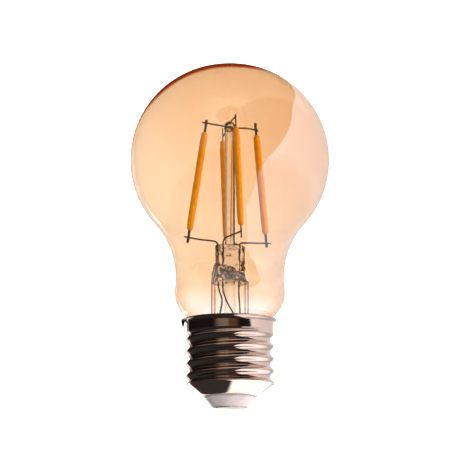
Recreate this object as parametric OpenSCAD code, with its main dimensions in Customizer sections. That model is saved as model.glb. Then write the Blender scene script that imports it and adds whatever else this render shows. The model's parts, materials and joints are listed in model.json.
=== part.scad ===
// Smart filament light bulb: an amber glass envelope on an Edison screw cap, with four LED
// filaments on a glass stem and a radio-controlled driver inside the cap. Millimetres.
// The origin is the middle of the end contact's flat face, and +Z runs up the axis to the crown.
// Left and right filaments stand on -X and +X, the front one on -Y and the back one on +Y.

/* [Envelope] */
// Overall length, from the end contact to the crown
overall_h = 104.4; // [98:0.1:130]
// Largest diameter of the glass
envelope_d = 60.2; // [50:0.1:62]
// Distance of the bowl arc's centre from the axis
bowl_inset = 1.1; // [0:0.1:3]
// How much flatter the crown is: its radius less the bowl arc's radius
crown_extra = 4; // [3.2:0.1:8]
// Diameter at the narrowest part of the neck
neck_d = 32.4; // [30:0.1:36]
// Radius of the hollow curve between the neck and the skirt
neck_blend_r = 25; // [15:0.5:40]
// Diameter of the skirt, the slight bulge above the cap
skirt_d = 32.9; // [32.5:0.1:38]
// Radius of the skirt's arc
skirt_r = 9.6; // [8.5:0.1:11]
// Height of the skirt above the cap's rim
skirt_rise = 8.4; // [7.5:0.1:10]
// Outer diameter of the glass where it is sealed inside the cap
seal_d = 22.4; // [20:0.1:23.4]
// How far the sealed end reaches below the cap's rim
seal_depth = 5.4; // [4.6:0.1:5.8]
// Wall of the envelope
glass_t = 0.8; // [0.5:0.05:1.2]

/* [Stem] */
// Outer diameter of the stem tube
stem_d = 11.2; // [10:0.1:12]
// Wall of the stem tube
stem_t = 0.9; // [0.6:0.05:1.2]
// How far the flare's centre lies beyond its sealed edge
flare_lip = 0.7; // [0.3:0.05:1.5]
// Height of the top of the press above the cap's rim
press_top_rise = 22.6; // [18:0.1:30]
// Height of the flat press
press_h = 7.6; // [6:0.1:10]
// Height of the shoulder between the press and the round tube
press_shoulder_h = 4.4; // [3:0.1:6]
// Width of the press
press_w = 9; // [8.4:0.1:10.4]
// Thickness of the press
press_t = 3.8; // [3.5:0.1:4.6]
// Diameter of the exhaust tube
exhaust_d = 3.1; // [2.8:0.1:3.6]
// Wall of the exhaust tube
exhaust_t = 0.6; // [0.4:0.05:0.8]
// Height of the exhaust tube's sealed tip below the cap's rim
exhaust_tip_depth = 6.2; // [4:0.1:6.6]
// Diameter of the centre rod
rod_d = 3; // [2.4:0.1:4]
// Diameter of the bead on top of the rod
bead_d = 3.7; // [3.3:0.1:4.6]

/* [Filaments] */
// Radius at which the filaments' upper ends are welded
head_r = 8.2; // [6:0.1:12]
// Radius at which the filaments' lower ends are welded
foot_r = 12.2; // [10:0.1:14]
// Length between the upper and the lower weld, measured up the axis
weld_span = 35.6; // [30:0.1:42]
// Diameter of the phosphor coating
coating_d = 2; // [1.7:0.05:2.6]
// Length of the phosphor coating
coating_l = 31; // [26:0.1:31.4]
// Overall length of a filament over its tabs
filament_l = 38.7; // [37.5:0.1:46]
// Width of the strip and its tabs
strip_w = 0.8; // [0.6:0.05:1]
// Thickness of the strip
strip_t = 0.4; // [0.3:0.05:0.6]
// Thickness of the metal tabs
tab_t = 0.25; // [0.15:0.05:0.35]
// Number of LED chips on a filament
chip_count = 28; // [10:1:32]
// Diameter of the supporting wires
wire_d = 0.5; // [0.4:0.02:0.6]

/* [Cap] */
// Height of the cap, from the end contact to the rim
cap_h = 26.4; // [25:0.1:32]
// Diameter over the crests of the screw thread
thread_d = 26.1; // [25.6:0.1:32]
// Depth of the screw thread
thread_depth = 1.05; // [0.8:0.05:1.2]
// Pitch of the screw thread
thread_pitch = 3.629; // [3:0.001:4.2]
// Diameter of the plain collar above the thread
collar_d = 25.7; // [25.4:0.1:31.6]
// Diameter over the turned-out rim
rim_d = 27.8; // [27:0.1:34]
// Sheet thickness of the screw shell
shell_t = 0.3; // [0.2:0.02:0.4]
// Radius of the shell's lower edge, where it grips the insulator
lip_r = 7.9; // [7.7:0.1:9]
// Height of the shell's lower edge
lip_z = 3.6; // [3.4:0.1:4.2]
// Diameter of the end contact's head
contact_d = 9.2; // [8:0.1:9.6]
// Thickness of the end contact's head
contact_t = 0.7; // [0.5:0.05:0.9]
// Diameter of the end contact's shank
shank_d = 2.8; // [2:0.1:3.2]

/* [Driver] */
// Thickness of the circuit boards
board_t = 0.8; // [0.6:0.1:1]
// Distance of the driver board's front face behind the axis
board_y = 2.3; // [2.2:0.1:2.6]
// Wall of the insulating liner
liner_t = 0.2; // [0.15:0.05:0.4]
// Diameter of the bulk capacitor's can
capacitor_d = 6; // [5:0.1:6.3]
// Length of the bulk capacitor's can
capacitor_l = 9.6; // [8:0.1:10]
// Diameter of the choke's drum core
choke_d = 5.6; // [4.5:0.1:6]
// Height of the choke's drum core
choke_h = 6; // [4:0.1:6.5]

/* [Hidden] */
$fn = 48;

gap = 0.05;                 // clearance between pieces that are pressed or cemented together
arc_steps = 12;             // straight pieces that stand for each arc of a turned outline

// Turned outline of the envelope: skirt, blend, hollow, bowl and crown arcs, tangent in turn
envelope_r = envelope_d / 2;
neck_r = neck_d / 2;
seal_r = seal_d / 2;
seal_z = cap_h - seal_depth;
bowl_r = envelope_r - bowl_inset;
crown_r = bowl_r + crown_extra;
crown_drop = sqrt(crown_extra * crown_extra - bowl_inset * bowl_inset);
bowl_z = overall_h - crown_r + crown_drop;
skirt_c = [skirt_d / 2 - skirt_r, cap_h + skirt_rise];
blend_dx = neck_r + neck_blend_r - skirt_c.x;
blend_dz = sqrt(pow(neck_blend_r + skirt_r, 2) - blend_dx * blend_dx);
blend_c = [neck_r + neck_blend_r, skirt_c.y + blend_dz];
neck_to_bowl = bowl_z - blend_c.y;
bowl_overhang = neck_r - bowl_inset;
hollow_r = (pow(neck_to_bowl, 2) - pow(bowl_r, 2) + pow(bowl_overhang, 2))
    / (2 * (bowl_r - bowl_overhang));
hollow_c = [neck_r + hollow_r, blend_c.y];
skirt_angle = atan2(blend_dz, blend_dx);
hollow_angle = atan2(neck_to_bowl, hollow_c.x - bowl_inset);
crown_angle = atan2(crown_drop, bowl_inset);

// Heights of the stem
press_top_z = cap_h + press_top_rise;
press_z = press_top_z - press_h;
shoulder_z = press_z - press_shoulder_h;
stem_r = stem_d / 2;
flare_rim_r = seal_r - glass_t;
flare_r = flare_rim_r - stem_r + flare_lip;
flare_z = seal_z + flare_r + 0.7 + stem_t;
exhaust_tip_z = cap_h - exhaust_tip_depth;
exhaust_top_z = press_z + 1;

// Heights of the filaments
foot_z = press_top_z + 1.4;
head_z = foot_z + weld_span;
bead_z = head_z - 0.3;
rod_top_z = bead_z - 1.2;

// Where each seal wire runs up through the press, along X
left_x = -3.6;
front_x = -2.2;
common_x = 2.8;
seal_wire_top_z = press_z + 3.2;
weld_z = shoulder_z - 0.2;

// Cap
thread_r = thread_d / 2;
collar_r = collar_d / 2;
rim_r = rim_d / 2;
thread_phase = 0.48;        // height of a crest above the origin plane on +X
thread_top_z = cap_h - 3.9;
thread_low_z = lip_z + 3.6;
cone_top_r = thread_r - 0.65;
shell_bore_r = thread_r - thread_depth - shell_t;
insulator_top_z = thread_low_z + 1.4;
shank_r = shank_d / 2;

// Driver
liner_r = shell_bore_r - 0.15;
liner_in_r = liner_r - liner_t;
liner_top_z = seal_z - 1.6;
board_back_y = board_y + board_t;
board_low_z = insulator_top_z + 0.7;
board_shelf_z = liner_top_z - 0.4;
board_top_z = seal_z + 2.4;
board_half_w = sqrt(pow(liner_in_r, 2) - pow(board_back_y, 2)) - 0.1;
tongue_half_w = 4.4;
sleeve_t = 0.15;
sleeve_r = capacitor_d / 2 + sleeve_t;
capacitor_c = [-3.6, board_y - sleeve_r - 0.4, board_low_z + sleeve_r + 0.3];
choke_c = [5.6, board_y, board_low_z + choke_d / 2 + 0.4];
radio_y = board_back_y + 2;
radio_half_w = 5;
radio_low_z = board_low_z + 0.6;
radio_h = 9.6;

// Points along an arc about c, from angle a0 to a1
function arc(c, r, a0, a1, n = arc_steps) =
    [for (i = [0 : n]) let (a = a0 + (a1 - a0) * i / n) [c.x + r * cos(a), c.y + r * sin(a)]];

function reverse(list) = [for (i = [len(list) - 1 : -1 : 0]) list[i]];

function unit(v) = v / norm(v);

// 0 below a, 1 above b, and a smooth rise between them
function ease(a, b, x) = let (t = max(0, min(1, (x - a) / (b - a)))) t * t * (3 - 2 * t);

// A Catmull-Rom curve through the points, with n steps in each stretch
function smooth_route(p, n = 4) =
    let (last = len(p) - 1)
    concat(
        [for (i = [0 : last - 1], k = [0 : n - 1])
            let (
                t = k / n,
                a = p[max(i - 1, 0)],
                b = p[i],
                c = p[i + 1],
                d = p[min(i + 2, last)]
            )
            (2 * b + (c - a) * t + (2 * a - 5 * b + 4 * c - d) * t * t
                + (3 * b - a - 3 * c + d) * t * t * t) / 2],
        [p[last]]
    );

// Side faces and end caps of a stack of rings with the same number of points
function tube_faces(rings, sides) = concat(
    [for (i = [0 : rings - 2], j = [0 : sides - 1])
        [(i + 1) * sides + j, (i + 1) * sides + (j + 1) % sides,
            i * sides + (j + 1) % sides, i * sides + j]],
    [[for (j = [0 : sides - 1]) j]],
    [[for (j = [sides - 1 : -1 : 0]) (rings - 1) * sides + j]]
);

// A round wire along a route that never runs parallel to side
module wire(route, d, side, sides = 8) {
    p = smooth_route(route);
    last = len(p) - 1;
    points = [for (i = [0 : last])
        let (
            along = unit(p[min(i + 1, last)] - p[max(i - 1, 0)]),
            u = unit(cross(along, side)),
            v = cross(along, u)
        )
        for (j = [0 : sides - 1])
            p[i] + d / 2 * (u * cos(360 * j / sides) + v * sin(360 * j / sides))];
    polyhedron(points, tube_faces(last + 1, sides), convexity = 6);
}

// A turned solid from an outline of [radius, height] points
module turned(outline) rotate_extrude(convexity = 6) polygon(outline);

// ---------------------------------------------------------------- envelope

// Angle below the horizontal at which the skirt's arc meets the sealed end, o inside the surface
function skirt_foot(o) = acos((seal_r - o - skirt_c.x) / (skirt_r - o));

// The envelope's outline from the sealed end to the crown, o inside the outer surface
function envelope_line(o) = concat(
    [[seal_r - o, seal_z]],
    arc(skirt_c, skirt_r - o, -skirt_foot(o), skirt_angle),
    arc(blend_c, neck_blend_r + o, 180 + skirt_angle, 180, 4),
    arc(hollow_c, hollow_r + o, 180, 180 - hollow_angle),
    arc([bowl_inset, bowl_z], bowl_r - o, -hollow_angle, crown_angle, 2 * arc_steps),
    arc([0, bowl_z - crown_drop], crown_r - o, crown_angle, 90, 6)
);

module glass_envelope()
    color("#F2B978", 0.4)
    turned(concat(envelope_line(0), reverse(envelope_line(glass_t))));

// ---------------------------------------------------------------- stem

// The trumpet's curve, o inside the outer surface
function flare_line(o) =
    let (c = [stem_r + flare_r, flare_z], r = flare_r + o)
    arc(c, r, 180, 180 + acos((c.x - flare_rim_r) / r));

// A flat slab with round edges, from height z0 to z1
module slab(w, t, z0, z1) {
    for (x = [-1, 1] * (w - t) / 2)
        translate([x, 0, z0]) cylinder(d = t, h = z1 - z0);
    translate([(t - w) / 2, -t / 2, z0]) cube([w - t, t, z1 - z0]);
}

// The shape between the round tube and the flat press
module press_shoulder(r, w, t, z0, z1)
    hull() {
        translate([0, 0, z0]) cylinder(r = r, h = 0.1, $fn = 32);
        slab(w, t, z1 - 0.1, z1, $fn = 24);
    }

module stem_flare()
    color("#E9F1F2", 0.5)
    difference() {
        union() {
            turned(concat(
                [[stem_r - stem_t, shoulder_z], [stem_r, shoulder_z]],
                flare_line(0),
                reverse(flare_line(stem_t))
            ));
            difference() {
                press_shoulder(stem_r, press_w, press_t, shoulder_z, press_z);
                press_shoulder(stem_r - stem_t, press_w - 1.4, 0.6, shoulder_z - 0.1, press_z - 1);
            }
            slab(press_w, press_t, press_z, press_top_z);
        }
        cylinder_along_z(exhaust_d + gap, weld_z - 1, exhaust_top_z);
        cylinder_along_z(exhaust_d - 2 * exhaust_t, exhaust_top_z - 0.1, exhaust_top_z + 1);
        translate([0, 0, exhaust_top_z + 0.5]) rotate([90, 0, 0])
            cylinder(d = 1, h = press_t);
        for (x = [left_x, front_x, common_x])
            translate([x, 0, 0]) {
                cylinder_along_z(wire_d, weld_z - 1, press_top_z + 1);
                translate([0, 0, press_top_z - wire_dimple])
                    cylinder(d1 = wire_d, d2 = 3 * wire_d, h = wire_dimple + 0.01);
            }
    }

module cylinder_along_z(d, z0, z1) translate([0, 0, z0]) cylinder(d = d, h = z1 - z0);

module exhaust_tube() {
    r = exhaust_d / 2;
    color("#E9F1F2", 0.5)
    difference() {
        union() {
            cylinder_along_z(exhaust_d, exhaust_tip_z + r, exhaust_top_z);
            translate([0, 0, exhaust_tip_z + r]) sphere(r = r);
        }
        cylinder_along_z(exhaust_d - 2 * exhaust_t, exhaust_tip_z + r, exhaust_top_z + 1);
    }
}

module stem_rod() color("#E9F1F2", 0.5) cylinder_along_z(rod_d, press_top_z, rod_top_z);

module stem_bead()
    color("#E9F1F2", 0.5)
    difference() {
        translate([0, 0, bead_z]) sphere(d = bead_d);
        translate([0, 0, rod_top_z - bead_d]) cylinder(d = 2 * bead_d, h = bead_d);
        jumper_left_right();
        jumper_front_back();
    }

// ---------------------------------------------------------------- filaments

// Each filament: its direction round the axis and its distance from it, at the head and at the foot
LEFT = [180, 180, head_r - 0.7, foot_r + 0.7];
RIGHT = [0, 0, head_r, foot_r - 0.8];
FRONT = [266.5, 270, head_r, foot_r];
BACK = [90, 79, head_r, foot_r];

function at_angle(r, a, z) = [r * cos(a), r * sin(a), z];

// Places the children so that their own Z runs from the foot weld to the head weld,
// with the middle of the span at their origin and their own X pointing away from the axis
module on_filament(way) {
    foot = at_angle(way[3], way[1], foot_z);
    head = at_angle(way[2], way[0], head_z);
    rise = head - foot;
    turn = atan2(rise.y, rise.x);
    lean = atan2(norm([rise.x, rise.y]), rise.z);
    translate((head + foot) / 2) rotate([0, lean, turn]) rotate([0, 0, way[1] - turn])
        children();
}

strip_l = coating_l - 2.4;
chip_size = [strip_w * 0.8, 0.16, 0.7];

module strip_shape() cube([strip_w, strip_t, strip_l], center = true);

module chips_shape()
    for (i = [0 : chip_count - 1])
        translate([0, -strip_t / 2 - chip_size.y / 2,
            (i - (chip_count - 1) / 2) * (strip_l - 1) / chip_count])
            cube(chip_size, center = true);

// The two metal tabs, each with the round hole that keys it to the coating
module tabs_shape()
    for (end = [-1, 1])
        difference() {
            translate([0, 0, end * (strip_l + filament_l) / 4])
                cube([strip_w, tab_t, (filament_l - strip_l) / 2], center = true);
            translate([0, 0, end * (coating_l / 2 + 0.7)]) rotate([90, 0, 0])
                cylinder(d = strip_w / 2, h = 1, center = true);
        }

module coating_shape() {
    r = coating_d / 2;
    half = coating_l / 2;
    difference() {
        turned(concat(
            [[0, -half]],
            arc([0.15, -half + r - 0.15], r - 0.15, -90, 0, 6),
            arc([0.15, half - r + 0.15], r - 0.15, 0, 90, 6),
            [[0, half]]
        ));
        strip_shape();
        chips_shape();
        tabs_shape();
    }
}

module filament_coating(way) color("#F08C0A") on_filament(way) coating_shape();
module filament_strip(way) color("#F4F1E6") on_filament(way) strip_shape();
module filament_chips(way) color("#3B6FB5") on_filament(way) chips_shape();
module filament_tabs(way) color("#8F867C") on_filament(way) tabs_shape();

// ---------------------------------------------------------------- wires on the stem

// Distance of a wire's axis from the middle of the tab that it crosses
wire_side = (wire_d + tab_t) / 2 + 0.01;
wire_tail = 1.3;            // how far a wire runs on past its weld
wire_dimple = 0.6;          // depth of the hollow in the press round each wire

module stem_wire(route, side) color("#6E665E") wire(route, wire_d, side);

module jumper_left_right()
    stem_wire([
        [-LEFT[2] - wire_tail, -wire_side, head_z + 0.4],
        [-LEFT[2], -wire_side, head_z + 0.2],
        [-LEFT[2] / 2, -wire_side / 2, head_z - 0.1],
        [-1.7, 0, head_z - 0.3],
        [0, 0, head_z - 0.5],
        [1.7, 0, head_z - 0.6],
        [RIGHT[2] * 0.65, -wire_side / 2, head_z - 0.5],
        [RIGHT[2], -wire_side, head_z - 0.9],
        [RIGHT[2] + 0.7, -wire_side, head_z - 1.1]
    ], [0, 1, 0]);

module jumper_front_back() {
    front = at_angle(FRONT[2], FRONT[0], head_z);
    stem_wire([
        [front.x - wire_side, front.y - wire_tail, head_z + 0.5],
        [front.x - wire_side, front.y, head_z + 0.35],
        [front.x - wire_side / 2, front.y / 2, head_z + 0.3],
        [0, -1.2, head_z + 0.45],
        [0, 0, head_z + 0.45],
        [0, 1.2, head_z + 0.3],
        [wire_side / 2, BACK[2] / 2, head_z - 0.2],
        [wire_side + 0.1, BACK[2], head_z - 0.7],
        [wire_side + 0.1, BACK[2] + wire_tail, head_z - 0.9]
    ], [1, 0, 0]);
}

module inner_lead_left()
    stem_wire([
        [left_x, 0, seal_wire_top_z + 0.03],
        [left_x, 0, press_top_z - 2 * wire_dimple],
        [left_x, 0, press_top_z - wire_dimple],
        [left_x - 0.4, 0, press_top_z + 0.5],
        [left_x - 1.6, -wire_side / 3, press_top_z + 1],
        [-LEFT[3] * 0.7, -wire_side * 0.7, foot_z - 0.2],
        [-LEFT[3], -wire_side, foot_z + 0.2],
        [-LEFT[3] - wire_tail, -wire_side, foot_z + 0.5]
    ], [0, 1, 0]);

module inner_lead_front()
    stem_wire([
        [front_x, 0, seal_wire_top_z + 0.03],
        [front_x, 0, press_top_z - 2 * wire_dimple],
        [front_x, 0, press_top_z - wire_dimple],
        [front_x + 0.05, -0.3, press_top_z + 0.9],
        [front_x + 0.4, -1.8, press_top_z + 1.9],
        [front_x * 0.5, -FRONT[3] * 0.45, foot_z + 0.6],
        [-wire_side - 0.2, -FRONT[3] * 0.8, foot_z + 0.5],
        [-wire_side, -FRONT[3], foot_z + 0.4],
        [-wire_side, -FRONT[3] - wire_tail, foot_z + 0.6]
    ], [1, 0, 0]);

module inner_lead_right()
    stem_wire([
        [common_x, 0, seal_wire_top_z + 0.03],
        [common_x, 0, press_top_z - 2 * wire_dimple],
        [common_x, 0, press_top_z - wire_dimple],
        [common_x + 0.3, 0, press_top_z + 0.5],
        [common_x + 1.3, -wire_side / 3, press_top_z + 0.9],
        [RIGHT[3] * 0.7, -wire_side * 0.7, foot_z - 0.4],
        [RIGHT[3], -wire_side, foot_z - 0.3],
        [RIGHT[3] + wire_tail, -wire_side, foot_z - 0.3]
    ], [0, 1, 0]);

// The back filament shares the right lead: its wire is welded to that lead above the press
module inner_lead_back() {
    foot = at_angle(BACK[3], BACK[1], foot_z);
    stem_wire([
        [common_x + 0.1, wire_d + 0.02, press_top_z + 0.3],
        [common_x - 0.6, 1.2, press_top_z + 0.8],
        [common_x - 0.8, 2.4, press_top_z + 0.9],
        [foot.x + wire_side, foot.y * 0.6, foot_z - 0.3],
        [foot.x + wire_side + 0.05, foot.y, foot_z],
        [foot.x + wire_side + 0.05, foot.y + wire_tail, foot_z + 0.1]
    ], [1, 0, 0]);
}

module seal_wire(x)
    color("#9C4A32")
    translate([x, 0, 0]) cylinder_along_z(wire_d, weld_z, seal_wire_top_z);

// Where each outer lead is soldered to the driver board
joint_z = board_top_z - 1.3;
joint_xs = [-3.2, 1.8, 3.5];
lead_end_y = board_y - wire_d / 2 - 0.06;

module outer_lead(route) color("#8A8178") wire(route, wire_d, [0, 1, 0]);

module outer_lead_left()
    outer_lead([
        [left_x, 0, weld_z - 0.06],
        [left_x + 0.4, 0, weld_z - 2],
        [left_x + 1.2, 0.1, weld_z - 5],
        [joint_xs[0], lead_end_y - 0.6, joint_z + 4],
        [joint_xs[0], lead_end_y, joint_z + 1],
        [joint_xs[0], lead_end_y, joint_z - 0.6]
    ]);

module outer_lead_front()
    outer_lead([
        [front_x, 0, weld_z - 0.06],
        [front_x, -0.5, weld_z - 2],
        [front_x + 0.8, -2.1, weld_z - 5.5],
        [0.2, -2.3, weld_z - 8.4],
        [joint_xs[1] + 0.1, -1.9, joint_z + 3.4],
        [joint_xs[1] + 0.7, 0, joint_z + 2.2],
        [joint_xs[1] + 0.3, lead_end_y - 0.6, joint_z + 1.2],
        [joint_xs[1], lead_end_y - 0.05, joint_z + 0.4],
        [joint_xs[1], lead_end_y, joint_z - 0.6]
    ]);

module outer_lead_common()
    outer_lead([
        [common_x, 0, weld_z - 0.06],
        [common_x, 0, weld_z - 3],
        [common_x + 0.3, 0, weld_z - 7],
        [joint_xs[2], lead_end_y - 0.6, joint_z + 4],
        [joint_xs[2], lead_end_y, joint_z + 1],
        [joint_xs[2], lead_end_y, joint_z - 0.6]
    ]);

// Weld beads where the outer leads meet the seal wires
module lead_welds()
    color("#6E665E")
    difference() {
        for (x = [left_x, front_x, common_x])
            translate([x, 0, weld_z]) sphere(d = wire_d * 1.6);
        for (x = [left_x, front_x, common_x])
            seal_wire(x);
        outer_lead_left();
        outer_lead_front();
        outer_lead_common();
    }

// ---------------------------------------------------------------- cap

// The shell's outer outline from the rim down to the lip, before the thread is pressed in
thread_rings = 40;
shell_line = concat(
    arc([rim_r, cap_h - shell_t - (rim_r - collar_r)], rim_r - collar_r, 90, 180, 5),
    [for (i = [0 : thread_rings])
        let (z = thread_top_z + 0.6 + (thread_low_z - thread_top_z - 0.6) * i / thread_rings)
        [collar_r + (thread_r - collar_r) * ease(thread_top_z + 0.4, thread_top_z - 0.8, z), z]],
    [[cone_top_r, thread_low_z - 0.25], [lip_r + 1, lip_z + 0.45], [lip_r + 0.4, lip_z + 0.08],
        [lip_r, lip_z]]
);

// The same outline, t inside it
function inside_of(line, t) =
    [for (i = [0 : len(line) - 1])
        let (d = unit(line[min(i + 1, len(line) - 1)] - line[max(i - 1, 0)]))
        line[i] + t * [d.y, -d.x]];

// How far the pressed thread lies below the outline at height z and angle a
function thread_dip(z, a) =
    let (turn = z / thread_pitch - thread_phase / thread_pitch - a / 360)
    thread_depth * (1 - pow((1 + cos(360 * turn)) / 2, 1.4))
        * ease(thread_top_z + 0.3, thread_top_z - 1, z)
        * ease(thread_low_z - 0.1, thread_low_z + 0.9, z);

module screw_shell() {
    sides = 40;
    inner = inside_of(shell_line, shell_t);
    loop = concat(shell_line, reverse(inner));
    heights = concat(shell_line, reverse(shell_line));
    rings = len(loop);
    points = [for (i = [0 : rings - 1], j = [0 : sides - 1])
        let (a = 360 * j / sides, r = loop[i].x - thread_dip(heights[i].y, a))
        [r * cos(a), r * sin(a), loop[i].y]];
    faces = [for (i = [0 : rings - 1], j = [0 : sides - 1])
        let (k = (i + 1) % rings, n = (j + 1) % sides)
        [i * sides + n, k * sides + n, k * sides + j, i * sides + j]];
    color("#CFC6C0") polyhedron(points, faces, convexity = 10);
}

insulator_edge_r = lip_r - 0.25;
insulator_foot_r = 5.05;
insulator_foot_z = 0.3;

// The insulator's cone runs parallel to the inside of the shell's cone
module cap_insulator() {
    cone = unit([cone_top_r - lip_r - 1, thread_low_z - lip_z - 0.7]);
    off = (shell_t + 0.12) * [-cone.y, cone.x];
    low = [lip_r + 1, lip_z + 0.45] + off;
    barrel_r = shell_bore_r - 0.2;
    color("#EDE8E6")
    difference() {
        turned([
            [shank_r + gap / 2, contact_t],
            [contact_d / 2 + 0.15, contact_t],
            [contact_d / 2 + 0.15, insulator_foot_z],
            [insulator_foot_r, insulator_foot_z],
            [insulator_foot_r + 0.3, insulator_foot_z + 0.15],
            [insulator_edge_r, lip_z - 0.35],
            [insulator_edge_r, low.y - 0.1],
            low,
            [barrel_r, low.y + (barrel_r - low.x) * cone.y / cone.x],
            [barrel_r, insulator_top_z],
            [shank_r + gap / 2, insulator_top_z]
        ]);
        translate([centre_wire_x, 0, 0])
            cylinder_along_z(centre_wire_d + 0.2, contact_t + 1.5, insulator_top_z + 1);
    }
}

// A nail driven up through the insulator, with a flat head that the holder's spring touches
module centre_contact() {
    head_edge = 0.2;
    head_r = contact_d / 2;
    tip_z = insulator_top_z + 0.3;
    color("#D9D2CA")
    turned(concat(
        [[0, 0]],
        arc([head_r - head_edge, head_edge], head_edge, -90, 0, 4),
        [[head_r, contact_t], [shank_r, contact_t], [shank_r, tip_z - 0.5],
            [shank_r - 0.4, tip_z], [0, tip_z]]
    ));
}

cement_r = collar_r - shell_t - gap;
cement_low_z = thread_top_z + 0.45;
cement_top_z = cap_h - 0.9;

module cap_cement()
    color("#D8CDBB")
    difference() {
        turned([
            [seal_r + gap, cement_low_z], [cement_r, cement_low_z],
            [cement_r, cement_top_z], [(cement_r + seal_r) / 2, cement_top_z - 0.25],
            [seal_r + gap, cement_top_z - 0.1]
        ]);
        side_wire();
    }

// The side wire runs up between the glass and the shell and is folded over the rim
side_angle = 164;
side_wire_d = 0.4;

module side_wire()
    color("#B87A4B")
    wire([
        [-board_half_w + 1.4, board_y - side_wire_d / 2 - 0.02, board_shelf_z - 2.2],
        [-board_half_w + 1.3, board_y - side_wire_d / 2 - 0.02, board_shelf_z - 0.6],
        [-board_half_w + 1.1, board_y - side_wire_d / 2, board_shelf_z + 0.3],
        at_angle(liner_in_r - 0.7, side_angle, liner_top_z + 0.4),
        at_angle(seal_r + 0.24, side_angle, seal_z - 0.4),
        at_angle(seal_r + 0.24, side_angle, seal_z + 0.6),
        at_angle(seal_r + 0.3, side_angle, thread_top_z + 0.2),
        at_angle((seal_r + collar_r) / 2, side_angle, cap_h - 0.9),
        at_angle(collar_r, side_angle, cap_h + 0.3),
        at_angle(rim_r - 0.1, side_angle, cap_h + 0.32),
        at_angle(rim_r + 0.27, side_angle, cap_h - 0.1),
        at_angle(rim_r + 0.1, side_angle, cap_h - 1.5)
    ], side_wire_d, at_angle(1, side_angle + 90, 0));

module side_solder()
    color("#8D8580")
    difference() {
        hull() {
            translate(at_angle(rim_r + 0.05, side_angle, cap_h - 0.5))
                sphere(d = 1, $fn = 16);
            translate(at_angle(rim_r - 0.5, side_angle, cap_h - 2.2))
                sphere(d = 0.5, $fn = 16);
        }
        turned(concat([[0, cap_h + 1], [rim_r + 0.02, cap_h + 1]],
            [for (p = shell_line) p + [0.02, 0]], [[0, lip_z]]));
        side_wire();
    }

centre_wire_d = 0.6;
centre_wire_x = shank_r + centre_wire_d / 2 + 0.15;

module centre_wire()
    color("#C23B30")
    wire([
        [3.4, board_y - centre_wire_d / 2 - 0.02, board_low_z + 0.7],
        [3.2, board_y - centre_wire_d / 2 - 0.1, board_low_z - 0.1],
        [centre_wire_x + 0.5, 1, insulator_top_z + 0.6],
        [centre_wire_x, 0, insulator_top_z],
        [centre_wire_x, 0, insulator_top_z - 1.6],
        [centre_wire_x, 0, contact_t + 1.6]
    ], centre_wire_d, [1, 0, 0]);

// ---------------------------------------------------------------- driver

module driver_liner()
    color("#E8E6DC", 0.8)
    difference() {
        cylinder_along_z(2 * liner_r, insulator_top_z, liner_top_z);
        cylinder_along_z(2 * liner_in_r, insulator_top_z - 1, liner_top_z + 1);
    }

module board_block(x0, x1, y, z0, z1)
    translate([x0, y, z0]) cube([x1 - x0, board_t, z1 - z0]);

module driver_board()
    color("#1E6B43")
    union() {
        board_block(-board_half_w, board_half_w, board_y, board_low_z, board_shelf_z);
        board_block(-tongue_half_w, tongue_half_w, board_y, board_shelf_z, board_top_z);
    }

module radio_board()
    color("#14324F")
    board_block(-radio_half_w, radio_half_w, radio_y, radio_low_z, radio_low_z + radio_h);

// A folded tin can over the radio chip, open towards its board
module radio_shield() {
    size = [7.4, 1.3, 6];
    wall = 0.2;
    y = radio_y + board_t;
    color("#BFC1C2")
    difference() {
        translate([-size.x / 2, y, radio_low_z + 0.5]) cube(size);
        translate([-size.x / 2 + wall, y - 1, radio_low_z + 0.5 + wall])
            cube([size.x - 2 * wall, size.y + 1 - wall, size.z - 2 * wall]);
    }
}

module radio_antenna()
    color("#D9D4C8")
    translate([-2.6, radio_y + board_t, radio_low_z + radio_h - 2.2]) cube([5.2, 1.1, 1.6]);

module board_pins()
    color("#C9A227")
    for (i = [0 : 4])
        translate([(i - 2) * 1.8 - 0.2, board_back_y, radio_low_z + 0.4])
            cube([0.4, radio_y - board_back_y, 0.4]);

// Stands the children, made along Z, on the capacitor's axis
module on_capacitor() translate(capacitor_c) rotate([0, 90, 0]) children();

bung_t = 1;

module capacitor_can()
    color("#C5C8CA")
    on_capacitor()
    difference() {
        translate([0, 0, -capacitor_l / 2]) cylinder(d = capacitor_d, h = capacitor_l);
        translate([0, 0, capacitor_l / 2 - bung_t]) cylinder(d = capacitor_d - 0.6, h = bung_t + 1);
    }

module capacitor_sleeve()
    color("#20252B")
    on_capacitor()
    difference() {
        translate([0, 0, -capacitor_l / 2]) cylinder(r = sleeve_r, h = capacitor_l);
        translate([0, 0, -capacitor_l / 2 - 1]) cylinder(d = capacitor_d, h = capacitor_l + 2);
    }

module capacitor_bung()
    color("#303030")
    on_capacitor()
    translate([0, 0, capacitor_l / 2 - bung_t]) cylinder(d = capacitor_d - 0.6, h = bung_t);

module capacitor_legs()
    for (z = [-1.25, 1.25])
        color("#B9BCBE")
        wire([
            [capacitor_c.x + capacitor_l / 2 + 0.01, capacitor_c.y, capacitor_c.z + z],
            [capacitor_c.x + capacitor_l / 2 + 0.55, capacitor_c.y + 0.1, capacitor_c.z + z],
            [capacitor_c.x + capacitor_l / 2 + 0.75, capacitor_c.y + 1, capacitor_c.z + z],
            [capacitor_c.x + capacitor_l / 2 + 0.75, board_y - 0.01, capacitor_c.z + z]
        ], 0.5, [0, 0, 1]);

module choke_core() {
    r = choke_d / 2;
    flange = 0.9;
    color("#3A3A3C")
    translate(choke_c) rotate([90, 0, 0])
    turned([
        [0, 0], [r, 0], [r, flange], [r * 0.45, flange],
        [r * 0.45, choke_h - flange], [r, choke_h - flange], [r, choke_h], [0, choke_h]
    ]);
}

module choke_winding()
    color("#B5652B")
    translate(choke_c - [0, 0.9, 0]) rotate([90, 0, 0])
    difference() {
        cylinder(d = choke_d - 0.5, h = choke_h - 1.8);
        translate([0, 0, -1]) cylinder(d = choke_d * 0.45, h = choke_h);
    }

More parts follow.
